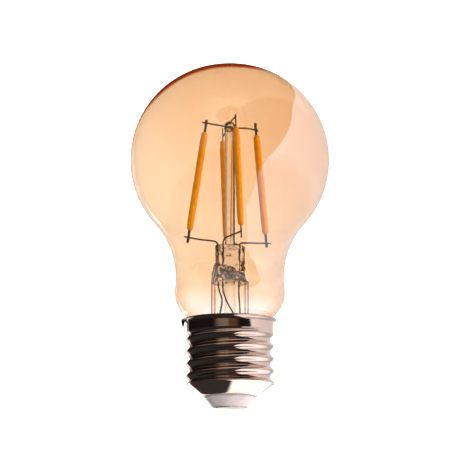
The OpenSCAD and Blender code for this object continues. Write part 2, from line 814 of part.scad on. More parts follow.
// A moulded chip body on the back of the driver board
module chip_on_back(x, z, size)
    translate([x - size.x / 2, board_back_y, z - size.z / 2]) cube(size);

module bridge_rectifier()
    color("#26262A")
    chip_on_back(-7.4, board_low_z + 4.6, [3.6, 1.6, 4.6]);

module driver_chip()
    color("#1C1C20")
    chip_on_back(7.4, board_low_z + 4.6, [3.6, 1.4, 4.8]);

module dimmer_transistors()
    color("#2A2A2E")
    for (x = [-1, 1] * 2.9)
        chip_on_back(x, board_top_z - 2, [1.4, 1, 2.6]);

module chip_resistors()
    color("#8C7B62")
    for (i = [0 : 5])
        translate([(i - 2.5) * 2.5 - 0.6, board_y - 0.5, board_shelf_z - 2.2])
            cube([1.2, 0.5, 1.8]);

// Solder where the three outer leads end on the driver board
module lead_solder_joints()
    color("#B4B0AA")
    difference() {
        for (x = joint_xs)
            translate([x, board_y, joint_z]) rotate([90, 0, 0])
                cylinder(r1 = 0.75, r2 = 0.4, h = 0.7);
        outer_lead_left();
        outer_lead_front();
        outer_lead_common();
    }

// A fusible resistor in the line from the end contact, standing beside the choke
module fuse_resistor()
    color("#7FA6A0")
    translate([7.6, -6.2, insulator_top_z]) cylinder(d = 2.2, h = 7);

glass_envelope();
stem_flare();
exhaust_tube();
stem_rod();
stem_bead();
jumper_left_right();
jumper_front_back();
inner_lead_left();
inner_lead_front();
inner_lead_right();
inner_lead_back();
seal_wire(left_x);  // seal_wire_left
seal_wire(front_x);  // seal_wire_front
seal_wire(common_x);  // seal_wire_common
outer_lead_left();
outer_lead_front();
outer_lead_common();
lead_welds();
filament_coating(LEFT);  // filament_left_coating
filament_strip(LEFT);  // filament_left_strip
filament_chips(LEFT);  // filament_left_chips
filament_tabs(LEFT);  // filament_left_tabs
filament_coating(RIGHT);  // filament_right_coating
filament_strip(RIGHT);  // filament_right_strip
filament_chips(RIGHT);  // filament_right_chips
filament_tabs(RIGHT);  // filament_right_tabs
filament_coating(FRONT);  // filament_front_coating
filament_strip(FRONT);  // filament_front_strip
filament_chips(FRONT);  // filament_front_chips
filament_tabs(FRONT);  // filament_front_tabs
filament_coating(BACK);  // filament_back_coating
filament_strip(BACK);  // filament_back_strip
filament_chips(BACK);  // filament_back_chips
filament_tabs(BACK);  // filament_back_tabs
screw_shell();
cap_insulator();
centre_contact();
cap_cement();
side_wire();
side_solder();
centre_wire();
driver_liner();
driver_board();
radio_board();
radio_shield();
radio_antenna();
board_pins();
capacitor_can();
capacitor_sleeve();
capacitor_bung();
capacitor_legs();
choke_core();
choke_winding();
bridge_rectifier();
driver_chip();
dimmer_transistors();
chip_resistors();
lead_solder_joints();
fuse_resistor();
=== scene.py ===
"""Looks for the filament light bulb: blown glass, drawn wires, coated filaments and the rolled cap."""

import json
import math

import bmesh
import bpy
from mathutils import Matrix, Vector, noise


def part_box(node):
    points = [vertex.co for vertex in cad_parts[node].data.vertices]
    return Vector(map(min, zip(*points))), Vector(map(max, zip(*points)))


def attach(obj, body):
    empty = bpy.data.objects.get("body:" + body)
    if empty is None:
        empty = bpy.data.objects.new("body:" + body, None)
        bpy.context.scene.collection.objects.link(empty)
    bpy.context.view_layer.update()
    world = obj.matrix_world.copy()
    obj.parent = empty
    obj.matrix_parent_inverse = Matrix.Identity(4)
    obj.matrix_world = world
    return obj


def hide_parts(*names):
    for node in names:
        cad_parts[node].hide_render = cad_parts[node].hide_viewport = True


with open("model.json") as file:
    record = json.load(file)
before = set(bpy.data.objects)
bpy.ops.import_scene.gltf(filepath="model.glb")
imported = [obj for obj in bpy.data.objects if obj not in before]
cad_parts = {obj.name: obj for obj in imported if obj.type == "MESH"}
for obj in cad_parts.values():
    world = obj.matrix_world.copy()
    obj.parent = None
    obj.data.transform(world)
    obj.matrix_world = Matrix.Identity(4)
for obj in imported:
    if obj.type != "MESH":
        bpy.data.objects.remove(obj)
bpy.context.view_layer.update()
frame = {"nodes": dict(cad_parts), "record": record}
nodes = frame["nodes"]
MM = 0.001

# ---------------------------------------------------------------- sizes, in millimetres

shell_low, shell_high = (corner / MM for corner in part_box("screw_shell"))
glass_low, glass_high = (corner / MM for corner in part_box("glass_envelope"))

CAP_H = shell_high.z
LIP_Z = shell_low.z
GLASS_R = glass_high.x
OVERALL_H = glass_high.z
SEAL_Z = glass_low.z
SEAL_R = 11.2
WALL = 0.8
BOWL_INSET = 1.1
CROWN_EXTRA = 4.0
NECK_R = 16.2
BLEND_R = 25.0
SKIRT_ARC_R = 9.6
SKIRT_R = 16.45
SKIRT_Z = CAP_H + 8.4

STEM_R = 5.6
STEM_WALL = 0.9
FLARE_LIP = 0.7
PRESS_TOP = CAP_H + 22.6
PRESS_LOW = PRESS_TOP - 7.6
SHOULDER_LOW = PRESS_LOW - 4.4
PRESS_W = 9.0
PRESS_T = 3.8
SHOULDER_SLOPE = 0.38
JAW_DENTS = 0.42
DENT_SEED = 1
EXHAUST_R = 1.55
EXHAUST_BORE = 0.95
EXHAUST_TIP = CAP_H - 6.2
ROD_R = 1.5
BEAD_R = 1.85

WIRE_D = 0.5
TAB_T = 0.25
TAB_CHAMFER = 0.04
STRIP_W = 0.8
STRIP_T = 0.4
COATING_R = 1.0
COATING_L = 31.0
STRIP_L = COATING_L - 2.4
FILAMENT_L = 38.7
CHIP_COUNT = 28
HEAD_R = 8.2
FOOT_R = 12.2
FOOT_Z = PRESS_TOP + 1.4
HEAD_Z = FOOT_Z + 35.6
BEAD_Z = HEAD_Z - 0.3
ROD_TOP = BEAD_Z - 1.2
LEFT_X, FRONT_X, COMMON_X = -3.6, -2.2, 2.8
SEAL_WIRE_TOP = PRESS_LOW + 3.2
WELD_Z = SHOULDER_LOW - 0.2
WIRE_SIDE = (WIRE_D + TAB_T) / 2 + 0.01
TAIL = 1.3

THREAD_R = 13.05
THREAD_DEPTH = 1.05
PITCH = 3.629
THREAD_PHASE = 0.48
THREAD_TOP = CAP_H - 3.9
THREAD_LOW = LIP_Z + 3.6
COLLAR_R = 12.85
RIM_R = 13.9
SHEET = 0.3
LIP_R = 7.9
CONE_TOP_R = THREAD_R - 0.65
SIDE_ANGLE = 164.0
DROP_L = 2.25
DROP_W = 1.9
DROP_DEPTH = 0.62
INSULATOR_LOW = 0.3
INSULATOR_BORE = 4.75

# Each filament: its direction round the axis and its distance from it, at the head and at the foot
FILAMENTS = {
    "left": (180, 180, HEAD_R - 0.7, FOOT_R + 0.7),
    "right": (0, 0, HEAD_R, FOOT_R - 0.8),
    "front": (266.5, 270, HEAD_R, FOOT_R),
    "back": (90, 79, HEAD_R, FOOT_R),
}


# ---------------------------------------------------------------- curves and meshes

def arc(centre, radius, start, end, steps):
    """Points [radius, height] along an arc, angles in degrees."""
    turns = [math.radians(start + (end - start) * i / steps) for i in range(steps + 1)]
    return [(centre[0] + radius * math.cos(a), centre[1] + radius * math.sin(a)) for a in turns]


def ease(low, high, x):
    """0 below low, 1 above high, and a smooth rise between them."""
    t = min(max((x - low) / (high - low), 0.0), 1.0)
    return t * t * (3 - 2 * t)


def at_angle(radius, angle, z):
    a = math.radians(angle)
    return Vector((radius * math.cos(a), radius * math.sin(a), z))


def dense(outline, step=1.0):
    """The outline with points added on its long straight stretches, so that its shading stays even."""
    out = [outline[0]]
    for a, b in zip(outline, outline[1:]):
        parts = max(1, math.ceil(math.hypot(b[0] - a[0], b[1] - a[1]) / step))
        for i in range(1, parts + 1):
            out.append((a[0] + (b[0] - a[0]) * i / parts, a[1] + (b[1] - a[1]) * i / parts))
    return out


def smooth_route(points, steps=8):
    """A Catmull-Rom curve through the points."""
    p = [Vector(q) for q in points]
    out = []
    for i in range(len(p) - 1):
        a, b, c, d = p[max(i - 1, 0)], p[i], p[i + 1], p[min(i + 2, len(p) - 1)]
        for k in range(steps):
            t = k / steps
            out.append((2 * b + (c - a) * t + (2 * a - 5 * b + 4 * c - d) * t * t
                        + (3 * b - a - 3 * c + d) * t ** 3) / 2)
    return out + [p[-1]]


def mesh_object(name, points, faces, smooth=True):
    """An object at the origin, from points in millimetres."""
    mesh = bpy.data.meshes.new(name)
    mesh.from_pydata([Vector(p) * MM for p in points], [], faces)
    work = bmesh.new()
    work.from_mesh(mesh)
    bmesh.ops.remove_doubles(work, verts=work.verts, dist=1e-7)
    bmesh.ops.delete(work, geom=[edge for edge in work.edges if not edge.link_faces], context="EDGES")
    bmesh.ops.recalc_face_normals(work, faces=work.faces)
    work.to_mesh(mesh)
    work.free()
    mesh.polygons.foreach_set("use_smooth", [smooth] * len(mesh.polygons))
    obj = bpy.data.objects.new(name, mesh)
    bpy.context.scene.collection.objects.link(obj)
    return obj


def quads(count, low, high):
    """The faces between ring number low and ring number high, each ring with count points."""
    return [(low * count + j, low * count + (j + 1) % count, high * count + (j + 1) % count, high * count + j)
            for j in range(count)]


def skin(name, rings, loop=False):
    """A surface over rings of equal length, joined into a loop or capped at both ends."""
    n = len(rings[0])
    points = [p for ring in rings for p in ring]
    last = len(rings) if loop else len(rings) - 1
    faces = []
    for i in range(last):
        faces += quads(n, i, (i + 1) % len(rings))
    if not loop:
        faces.append(tuple(range(n)))
        faces.append(tuple(range((len(rings) - 1) * n, len(rings) * n)))
    return mesh_object(name, points, faces)


def turned(name, outline, segments=144, loop=True):
    """A turned piece from an outline of (radius, height) points."""
    rings = [[at_angle(max(r, 1e-6), 360 * j / segments, z) for j in range(segments)] for r, z in outline]
    return skin(name, rings, loop)


def finish_piece(piece, slot, *replaced):
    """Hangs a finished piece on the bulb, in the finish of one of its material slots."""
    piece.data.materials.clear()
    piece.data.materials.append(FINISH[slot]())
    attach(piece, "root")
    if replaced:
        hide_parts(*replaced)
    return piece


# ---------------------------------------------------------------- shader helpers and shared groups

def shade(tree, kind, inputs=None, **settings):
    """Adds a shader node, with its settings, and its inputs by name or number."""
    made = tree.nodes.new("ShaderNode" + kind)
    for key, value in settings.items():
        setattr(made, key, value)
    for key, value in (inputs or {}).items():
        if isinstance(value, bpy.types.NodeSocket):
            tree.links.new(value, made.inputs[key])
        else:
            made.inputs[key].default_value = value
    return made


def fade(tree, value, low=0.0, high=1.0, start=0.0, end=1.0, soft=True):
    """A number that goes from start to end while value goes from low to high."""
    return shade(tree, "MapRange", {
        "Value": value, "From Min": low, "From Max": high, "To Min": start, "To Max": end,
    }, interpolation_type="SMOOTHSTEP" if soft else "LINEAR").outputs["Result"]


def sum_up(tree, operation, *values, clamp=False):
    """One step of arithmetic on numbers or sockets."""
    made = shade(tree, "Math", dict(enumerate(values)), operation=operation, use_clamp=clamp)
    return made.outputs[0]


def dye(tree, share, first, second):
    """The first colour where share is 0 and the second where it is 1."""
    first, second = (c if isinstance(c, bpy.types.NodeSocket) else (*c, 1) for c in (first, second))
    return shade(tree, "Mix", {"Factor": share, 6: first, 7: second}, data_type="RGBA").outputs[2]


def between(tree, share, first, second):
    """The first number where share is 0 and the second where it is 1."""
    return shade(tree, "Mix", {"Factor": share, 2: first, 3: second}, data_type="FLOAT").outputs[0]


def layered(tree, share, first, second):
    """The first shader where share is 0 and the second where it is 1."""
    return shade(tree, "MixShader", {0: share, 1: first.outputs[0], 2: second.outputs[0]})


def across_and_near(tree, way):
    """How far a point or direction lies to the camera's right, and how far towards the camera."""
    a = math.radians(CAMERA_AZIMUTH)
    axes = (math.cos(a), math.sin(a), 0), (math.sin(a), -math.cos(a), 0)
    dots = [shade(tree, "VectorMath", {0: way, 1: axis}, operation="DOT_PRODUCT") for axis in axes]
    return [dot.outputs["Value"] for dot in dots]


def colours_along(tree, value, first, last, stops):
    """The first colour at 0, the last at 1, and stops of (place, colour) between them."""
    made = shade(tree, "ValToRGB", {0: value})
    elements = made.color_ramp.elements
    elements[0].color = (*first, 1)
    elements[1].color = (*last, 1)
    for at, colour in stops:
        element = elements.new(at)
        element.color = (*colour, 1)
    return made.outputs["Color"]


def shader_group(name, inputs, outputs):
    """A shader node group with named sockets. Returns it with its input and output nodes."""
    tree = bpy.data.node_groups.new(name, "ShaderNodeTree")
    for label, kind, value in inputs:
        socket = tree.interface.new_socket(label, in_out="INPUT", socket_type="NodeSocket" + kind)
        socket.default_value = value
    for label, kind in outputs:
        tree.interface.new_socket(label, in_out="OUTPUT", socket_type="NodeSocket" + kind)
    return tree, tree.nodes.new("NodeGroupInput"), tree.nodes.new("NodeGroupOutput")


def mottle_group():
    """Two colours blended by soft noise, as in oxide, dye or tarnish."""
    tree, given, result = shader_group(
        "mottle",
        [("Light", "Color", (1, 1, 1, 1)), ("Dark", "Color", (0, 0, 0, 1)), ("Scale", "Float", 400.0),
         ("Balance", "Float", 0.5), ("Spread", "Float", 0.2)],
        [("Color", "Color")],
    )
    wanted = given.outputs
    place = shade(tree, "TexCoord").outputs["Object"]
    grain = shade(tree, "TexNoise", {
        "Vector": place, "Scale": wanted["Scale"], "Detail": 5.0, "Roughness": 0.6,
    }).outputs["Fac"]
    low = sum_up(tree, "SUBTRACT", wanted["Balance"], wanted["Spread"])
    high = sum_up(tree, "ADD", wanted["Balance"], wanted["Spread"])
    blend = dye(tree, fade(tree, grain, low, high), wanted["Light"], wanted["Dark"])
    tree.links.new(blend, result.inputs["Color"])
    return tree


def marks_group():
    """Fine scratches and pits left by making and handling, as a roughness and a height."""
    tree, given, result = shader_group(
        "making_marks",
        [("Scale", "Float", 900.0), ("Stretch", "Vector", (1, 1, 1)), ("Smooth", "Float", 0.1),
         ("Worn", "Float", 0.3)],
        [("Roughness", "Float"), ("Height", "Float")],
    )
    wanted = given.outputs
    place = shade(tree, "TexCoord").outputs["Object"]
    drawn = shade(tree, "VectorMath", {0: place, 1: wanted["Stretch"]}, operation="MULTIPLY").outputs[0]
    lines = shade(tree, "TexNoise", {
        "Vector": drawn, "Scale": wanted["Scale"], "Detail": 4.0, "Roughness": 0.7,
    }).outputs["Fac"]
    patches = shade(tree, "TexNoise", {"Vector": place, "Scale": 150.0, "Detail": 3.0}).outputs["Fac"]
    both = sum_up(tree, "MULTIPLY", lines, patches)
    rough = fade(tree, both, 0.12, 0.42, wanted["Smooth"], wanted["Worn"], soft=False)
    tree.links.new(rough, result.inputs["Roughness"])
    tree.links.new(lines, result.inputs["Height"])
    return tree


MOTTLE = mottle_group()
MARKS = marks_group()


def new_material(name):
    material = bpy.data.materials.new(name)
    material.use_nodes = True
    tree = material.node_tree
    tree.nodes.clear()
    return material, tree, tree.nodes.new("ShaderNodeOutputMaterial")


def mottle(tree, light, dark, scale, balance=0.5, spread=0.2):
    """A mottled colour."""
    return shade(tree, "Group", {
        "Light": (*light, 1), "Dark": (*dark, 1), "Scale": scale, "Balance": balance, "Spread": spread,
    }, node_tree=MOTTLE).outputs["Color"]


def marks(tree, scale, smooth, worn, stretch=(1, 1, 1)):
    """Making marks, with their outputs Roughness and Height."""
    return shade(tree, "Group", {
        "Scale": scale, "Stretch": stretch, "Smooth": smooth, "Worn": worn,
    }, node_tree=MARKS).outputs


def opaque(tree, output, colour, surface, relief, height=None, fineness=0.0001, **constant):
    """An opaque surface of a colour, with uneven gloss, a fine relief and plain settings."""
    bump = shade(tree, "Bump", {
        "Height": surface["Height"] if height is None else height, "Strength": relief, "Distance": fineness,
    })
    shader = shade(tree, "BsdfPrincipled", {
        "Base Color": colour, "Roughness": surface["Roughness"], "Normal": bump.outputs["Normal"],
    })
    for label, value in constant.items():
        shader.inputs[label.replace("_", " ")].default_value = value
    tree.links.new(shader.outputs["BSDF"], output.inputs["Surface"])


def solid_material(name, light, dark, grain=400.0, metallic=0.0, smooth=0.3, worn=0.6, relief=0.05,
                   stretch=(1, 1, 1), **constant):
    """An opaque finish with mottled colour, uneven gloss and a fine relief."""
    material, tree, output = new_material(name)
    colour = mottle(tree, light, dark, grain)
    surface = marks(tree, 900.0, smooth, worn, stretch)
    opaque(tree, output, colour, surface, relief, Metallic=metallic, **constant)
    return material


# ---------------------------------------------------------------- materials

def amber_glass():
    """Clear glass under a thin amber lacquer that fades out towards the cap.

    The lacquer mirrors more blue than red, so what it lets through is amber. The wall's outer side does the
    work of both sides. Its inner side lets everything through, because thin blown glass shows no second edge.
    """
    material, tree, output = new_material("amber_lacquered_glass")
    where = shade(tree, "TexCoord").outputs["Object"]
    place = shade(tree, "SeparateXYZ", {0: where}).outputs
    facing = shade(tree, "LayerWeight", {"Blend": 0.5}).outputs["Facing"]
    # The amber: deeper up the bowl and round the neck, and a little cloudy.
    # Paler on the left and deeper on the right is painted light, for a soft light mirrored on the left
    upper = fade(tree, place["Z"], 0.05, 0.104, soft=False)
    neck = fade(tree, place["Z"], 0.042, 0.053, 0.35, 0.0)
    side_painted_light = fade(tree, place["X"], -0.03, 0.012, -0.55, 0.35, soft=False)
    depth = sum_up(tree, "ADD", sum_up(tree, "ADD", upper, neck), side_painted_light)
    cloud = shade(tree, "TexNoise", {"Vector": where, "Scale": 45.0, "Detail": 2.0}).outputs["Fac"]
    tone = sum_up(tree, "MULTIPLY_ADD", cloud, 0.3, depth, clamp=True)
    amber = dye(tree, tone, (1.0, 0.82, 0.65), (0.895, 0.65, 0.44))
    # The lacquer's lower end, where steeply seen glass still looks coated
    sprayed = fade(tree, place["Z"], (CAP_H + 1.5) * MM, (SKIRT_Z + 4.5) * MM)
    slant = fade(tree, facing, 0.25, 0.75)
    lacquer = sum_up(tree, "MULTIPLY_ADD", slant, 0.7, sprayed, clamp=True)
    # The dark outline, where the eye looks along the wall: partly the deeper amber of the wall seen edgewise,
    # and partly painted shade. The painted shade is wider at the crown, for the dark room mirrored there,
    # and thinner on the right, where the softbox lights the glass
    crown = fade(tree, place["Z"], 0.082, 0.099, 0.0, 0.2)
    right = fade(tree, place["X"], 0.0, 0.014, 0.0, -0.22)
    turned_away = sum_up(tree, "ADD", facing, sum_up(tree, "ADD", crown, right))
    thick_wall_and_shade = fade(tree, turned_away, 0.87, 0.98)
    deep = dye(tree, thick_wall_and_shade, amber, (0.40, 0.12, 0.025))
    passed = dye(tree, lacquer, (0.83, 0.785, 0.76), deep)
    # What it mirrors, and in what colour
    coated = fade(tree, lacquer, start=0.08, end=0.25, soft=False)
    full = between(tree, sum_up(tree, "POWER", facing, 3.0), coated, 0.55)
    mirror = between(tree, thick_wall_and_shade, full, 0.15)
    hue = dye(tree, lacquer, (0.85, 0.85, 0.85), (0.43, 0.72, 1.0))
    sheen = dye(tree, fade(tree, facing, 0.4, 0.9, soft=False), hue, (0.72, 0.84, 0.98))
    through = shade(tree, "BsdfTransparent", {"Color": passed})
    shine = shade(tree, "BsdfGlossy", {"Color": sheen, "Roughness": 0.0})
    outer = layered(tree, mirror, through, shine)
    inner_side = shade(tree, "Attribute", attribute_name="inner_side").outputs["Fac"]
    both = layered(tree, inner_side, outer, shade(tree, "BsdfTransparent"))
    tree.links.new(both.outputs[0], output.inputs["Surface"])
    return material


def clear_glass():
    """Stem glass: thin walls with darker edges in the tubes, solid lenses in the press and the rod."""
    material, tree, output = new_material("stem_glass")
    where = shade(tree, "TexCoord").outputs["Object"]
    height = shade(tree, "SeparateXYZ", {0: where}).outputs["Z"]
    # Solid glass, dented by the jaws up to the top of the press
    waves = shade(tree, "TexNoise", {"Vector": where, "Scale": 210.0, "Detail": 2.0, "Distortion": 1.2})
    calm = fade(tree, height, (PRESS_TOP - 0.5) * MM, PRESS_TOP * MM, 1.0, 0.0, soft=False)
    ripple = sum_up(tree, "MULTIPLY", waves.outputs["Fac"], calm)
    bump = shade(tree, "Bump", {"Height": ripple, "Strength": 0.6, "Distance": 0.0012})
    glass = shade(tree, "BsdfPrincipled", {
        "Base Color": (0.985, 0.985, 0.98, 1), "Roughness": 0.0, "IOR": 1.5, "Transmission Weight": 1.0,
        "Normal": bump.outputs["Normal"],
    })
    lamp_path = shade(tree, "BsdfTransparent", {"Color": (0.94, 0.95, 0.94, 1)})
    lens = layered(tree, shade(tree, "LightPath").outputs["Is Shadow Ray"], glass, lamp_path)
    # Thin tube
    facing = shade(tree, "LayerWeight", {"Blend": 0.5}).outputs["Facing"]
    mirror = fade(tree, sum_up(tree, "POWER", facing, 5.0), start=0.008, end=0.6, soft=False)
    wall = dye(tree, fade(tree, facing, 0.45, 0.95), (1.0, 1.0, 0.995), (0.55, 0.42, 0.38))
    through = shade(tree, "BsdfTransparent", {"Color": wall})
    shine = shade(tree, "BsdfGlossy", {"Color": (0.8, 0.8, 0.8, 1), "Roughness": 0.02})
    tube = layered(tree, mirror, through, shine)
    solid = fade(tree, height, (SHOULDER_LOW + 0.1) * MM, (SHOULDER_LOW + 0.9) * MM)
    both = layered(tree, solid, tube, lens)
    tree.links.new(both.outputs[0], output.inputs["Surface"])
    return material


def phosphor():
    """Silicone full of phosphor: deep orange, a little paler where the light passes its thin edges."""
    material, tree, output = new_material("phosphor_silicone")
    colour = mottle(tree, (0.86, 0.46, 0.004), (0.75, 0.34, 0.002), 900.0, 0.5, 0.25)
    facing = shade(tree, "LayerWeight", {"Blend": 0.35}).outputs["Facing"]
    rim = dye(tree, facing, colour, (0.86, 0.47, 0.02))
    opaque(tree, output, rim, marks(tree, 1500.0, 0.28, 0.5), 0.12, Subsurface_Weight=0.35,
           Subsurface_Radius=(1.0, 0.45, 0.08), Subsurface_Scale=0.0008, IOR=1.42)
    return material


def cap_metal():
    """Bright nickel over rolled brass sheet, with drawing lines round it and pits on the cone."""
    material, tree, output = new_material("cap_nickel")
    colour = mottle(tree, (0.70, 0.55, 0.50), (0.63, 0.49, 0.44), 260.0, 0.5, 0.25)
    place = shade(tree, "TexCoord").outputs["Object"]
    height = shade(tree, "SeparateXYZ", {0: place}).outputs["Z"]
    surface = marks(tree, 700.0, 0.05, 0.17, (0.25, 0.25, 4.0))
    pits = shade(tree, "TexVoronoi", {"Vector": place, "Scale": 2600.0}, feature="F1").outputs["Distance"]
    cone = fade(tree, height, THREAD_LOW * MM, (THREAD_LOW + 0.8) * MM, 0.5, 0.05, soft=False)
    pitted = sum_up(tree, "MULTIPLY_ADD", pits, cone, surface["Height"])
    opaque(tree, output, colour, surface, 0.12, pitted, 0.00008, Metallic=1.0)
    return material


def insulator():
    """Opaque white glass, with painted shade in a thin band just under the metal lip."""
    material, tree, output = new_material("insulator_glass")
    colour = mottle(tree, (0.53, 0.475, 0.465), (0.475, 0.42, 0.41), 180.0)
    height = shade(tree, "SeparateXYZ", {0: shade(tree, "TexCoord").outputs["Object"]}).outputs["Z"]
    # Painted shade: darker from just under the shell's lip upwards, for the shadowed gap there
    lip_shade_band = fade(tree, height, (LIP_Z - 0.75) * MM, (LIP_Z - 0.25) * MM, soft=False)
    shaded_under_lip = dye(tree, lip_shade_band, colour, (0.33, 0.29, 0.28))
    opaque(tree, output, shaded_under_lip, marks(tree, 500.0, 0.22, 0.4), 0.08, Subsurface_Weight=0.2,
           Subsurface_Radius=(1.0, 0.9, 0.85), Subsurface_Scale=0.001)
    return material


def make_once(maker):
    """A material maker that makes its material the first time and gives it back after that."""
    made = []

    def give():
        if not made:
            made.append(maker())
        return made[0]
    return give


def plain(name, light, dark, **finish):
    return make_once(lambda: solid_material(name, light, dark, **finish))


FINISH = {
    "amber_glass": make_once(amber_glass),
    "clear_glass": make_once(clear_glass),
    "phosphor": make_once(phosphor),
    "cap_metal": make_once(cap_metal),
    "insulator": make_once(insulator),
    "nickel_wire": plain("nickel_wire", (0.40, 0.30, 0.23), (0.20, 0.14, 0.10),
                         metallic=0.8, smooth=0.3, worn=0.5, grain=700.0),
    "dumet": plain("seal_wire_copper", (0.50, 0.17, 0.10), (0.26, 0.07, 0.05),
                   metallic=0.6, smooth=0.25, worn=0.5, grain=900.0),
    "substrate": plain("alumina", (0.88, 0.86, 0.80), (0.80, 0.77, 0.70), smooth=0.5, worn=0.75),
    "led_chip": plain("led_sapphire", (0.28, 0.45, 0.70), (0.12, 0.20, 0.42),
                      smooth=0.08, worn=0.2, Coat_Weight=0.4),
    "tab_metal": plain("stamped_tab", (0.40, 0.32, 0.26), (0.18, 0.13, 0.10),
                       metallic=0.8, smooth=0.3, worn=0.5, grain=800.0),
    "contact_metal": plain("contact_plate", (0.78, 0.72, 0.64), (0.62, 0.55, 0.47),
                           metallic=1.0, smooth=0.16, worn=0.4, stretch=(6, 0.3, 1)),
    "cement": plain("basing_cement", (0.80, 0.74, 0.64), (0.62, 0.55, 0.45),
                    smooth=0.75, worn=0.95, relief=0.6),
    "solder": plain("dull_solder", (0.34, 0.31, 0.30), (0.16, 0.14, 0.13),
                    metallic=1.0, smooth=0.25, worn=0.55, relief=0.2),
    "copper_wire": plain("tinned_copper", (0.72, 0.42, 0.24), (0.50, 0.26, 0.14),
                         metallic=1.0, smooth=0.2, worn=0.45),
    "wire_insulation": plain("silicone_sleeve", (0.62, 0.11, 0.08), (0.45, 0.06, 0.05),
                             smooth=0.35, worn=0.55),
    "liner": plain("liner_film", (0.86, 0.85, 0.79), (0.78, 0.76, 0.69), smooth=0.3, worn=0.5, relief=0.1),
    "circuit_board": plain("green_laminate", (0.04, 0.24, 0.12), (0.02, 0.15, 0.07),
                           smooth=0.2, worn=0.4, relief=0.1),
    "radio_board": plain("blue_laminate", (0.03, 0.09, 0.20), (0.015, 0.05, 0.12),
                         smooth=0.2, worn=0.4, relief=0.1),
    "tinplate": plain("tinplate", (0.72, 0.72, 0.70), (0.58, 0.58, 0.57),
                      metallic=1.0, smooth=0.18, worn=0.4, stretch=(0.3, 1, 5)),
    "antenna_ceramic": plain("antenna_ceramic", (0.82, 0.80, 0.74), (0.72, 0.69, 0.62), smooth=0.5, worn=0.7),
    "gold_pin": plain("gold_pin", (0.83, 0.62, 0.22), (0.66, 0.46, 0.14),
                      metallic=1.0, smooth=0.15, worn=0.35),
    "can_aluminium": plain("drawn_can", (0.78, 0.79, 0.80), (0.64, 0.65, 0.67),
                           metallic=1.0, smooth=0.22, worn=0.42, stretch=(6, 0.4, 0.4)),
    "sleeve_film": plain("shrink_film", (0.045, 0.05, 0.065), (0.02, 0.025, 0.03),
                         smooth=0.15, worn=0.35, relief=0.1),
    "rubber_bung": plain("bung_rubber", (0.06, 0.06, 0.06), (0.03, 0.03, 0.03),
                         smooth=0.6, worn=0.85, relief=0.3),
    "ferrite": plain("ferrite", (0.11, 0.11, 0.115), (0.06, 0.06, 0.065), smooth=0.5, worn=0.8, relief=0.3),
    "copper_winding": plain("enamelled_copper", (0.62, 0.24, 0.09), (0.42, 0.13, 0.05),
                            metallic=1.0, smooth=0.12, worn=0.3),
    "chip_body": plain("moulded_epoxy", (0.045, 0.045, 0.05), (0.025, 0.025, 0.028),
                       smooth=0.5, worn=0.75, relief=0.3),
    "chip_ceramic": plain("chip_ceramic", (0.50, 0.40, 0.28), (0.34, 0.26, 0.18), smooth=0.35, worn=0.6),
    "resistor_body": plain("resistor_lacquer", (0.32, 0.50, 0.47), (0.22, 0.38, 0.36),
                           smooth=0.2, worn=0.45, relief=0.2),
}


# ---------------------------------------------------------------- glass envelope

def envelope_outline(inside):
    """The envelope's outline from the sealed end to the crown, so far inside the outer surface."""
    bowl_r = GLASS_R - BOWL_INSET
    crown_r = bowl_r + CROWN_EXTRA
    drop = math.sqrt(CROWN_EXTRA ** 2 - BOWL_INSET ** 2)
    bowl_z = OVERALL_H - crown_r + drop
    skirt = (SKIRT_R - SKIRT_ARC_R, SKIRT_Z)
    dx = NECK_R + BLEND_R - skirt[0]
    dz = math.sqrt((BLEND_R + SKIRT_ARC_R) ** 2 - dx ** 2)
    blend = (NECK_R + BLEND_R, skirt[1] + dz)
    rise = bowl_z - blend[1]
    overhang = NECK_R - BOWL_INSET
    hollow_r = (rise ** 2 - bowl_r ** 2 + overhang ** 2) / (2 * (bowl_r - overhang))
    hollow = (NECK_R + hollow_r, blend[1])
    skirt_angle = math.degrees(math.atan2(dz, dx))
    hollow_angle = math.degrees(math.atan2(rise, hollow[0] - BOWL_INSET))
    crown_angle = math.degrees(math.atan2(drop, BOWL_INSET))
    foot = math.degrees(math.acos((SEAL_R - inside - skirt[0]) / (SKIRT_ARC_R - inside)))
    line = [(SEAL_R - inside, SEAL_Z)]
    line += arc(skirt, SKIRT_ARC_R - inside, -foot, skirt_angle, 26)
    line += arc(blend, BLEND_R + inside, 180 + skirt_angle, 180, 6)[1:]
    line += arc(hollow, hollow_r + inside, 180, 180 - hollow_angle, 24)[1:]
    line += arc((BOWL_INSET, bowl_z), bowl_r - inside, -hollow_angle, crown_angle, 44)[1:]
    line += arc((0, bowl_z - drop), crown_r - inside, crown_angle, 90, 12)[1:]
    return line


def make_envelope():
    outside, inside = envelope_outline(0), envelope_outline(WALL)
    bulb = turned("glass_bulb", outside + inside[::-1], 192)
    mark = bulb.data.attributes.new("inner_side", "FLOAT", "POINT")
    for value, vertex in zip(mark.data, bulb.data.vertices):
        reach, height = math.hypot(vertex.co.x, vertex.co.y) / MM, vertex.co.z / MM
        near_out = min(math.hypot(reach - r, height - z) for r, z in outside)
        near_in = min(math.hypot(reach - r, height - z) for r, z in inside)
        value.value = 1.0 if near_in < near_out else 0.0
    return bulb


# ---------------------------------------------------------------- stem

def oval(half_w, half_t, count):
    """A ring that is a circle when both halves are equal, and flat with round ends when they aren't."""
    ring = []
    for j in range(count):
        a = 2 * math.pi * j / count
        flat = math.tanh(3 * math.cos(a)) / math.tanh(3)
        ring.append((half_t * math.cos(a) + (half_w - half_t) * flat, half_t * math.sin(a)))
    return ring


def pressed(half_w, half_t, z, slope, count):
    """One ring of the press, whose shoulder runs lower on the right."""
    return [Vector((x, y, z - slope * x)) for x, y in oval(half_w, half_t, count)]


def crumple(point, depth):
    """Moves a point by smooth noise, as hot glass is dented by the jaws that press it."""
    push = noise.noise_vector(point * 0.75) + 0.5 * noise.noise_vector(point * 1.9)
    return point + push * depth


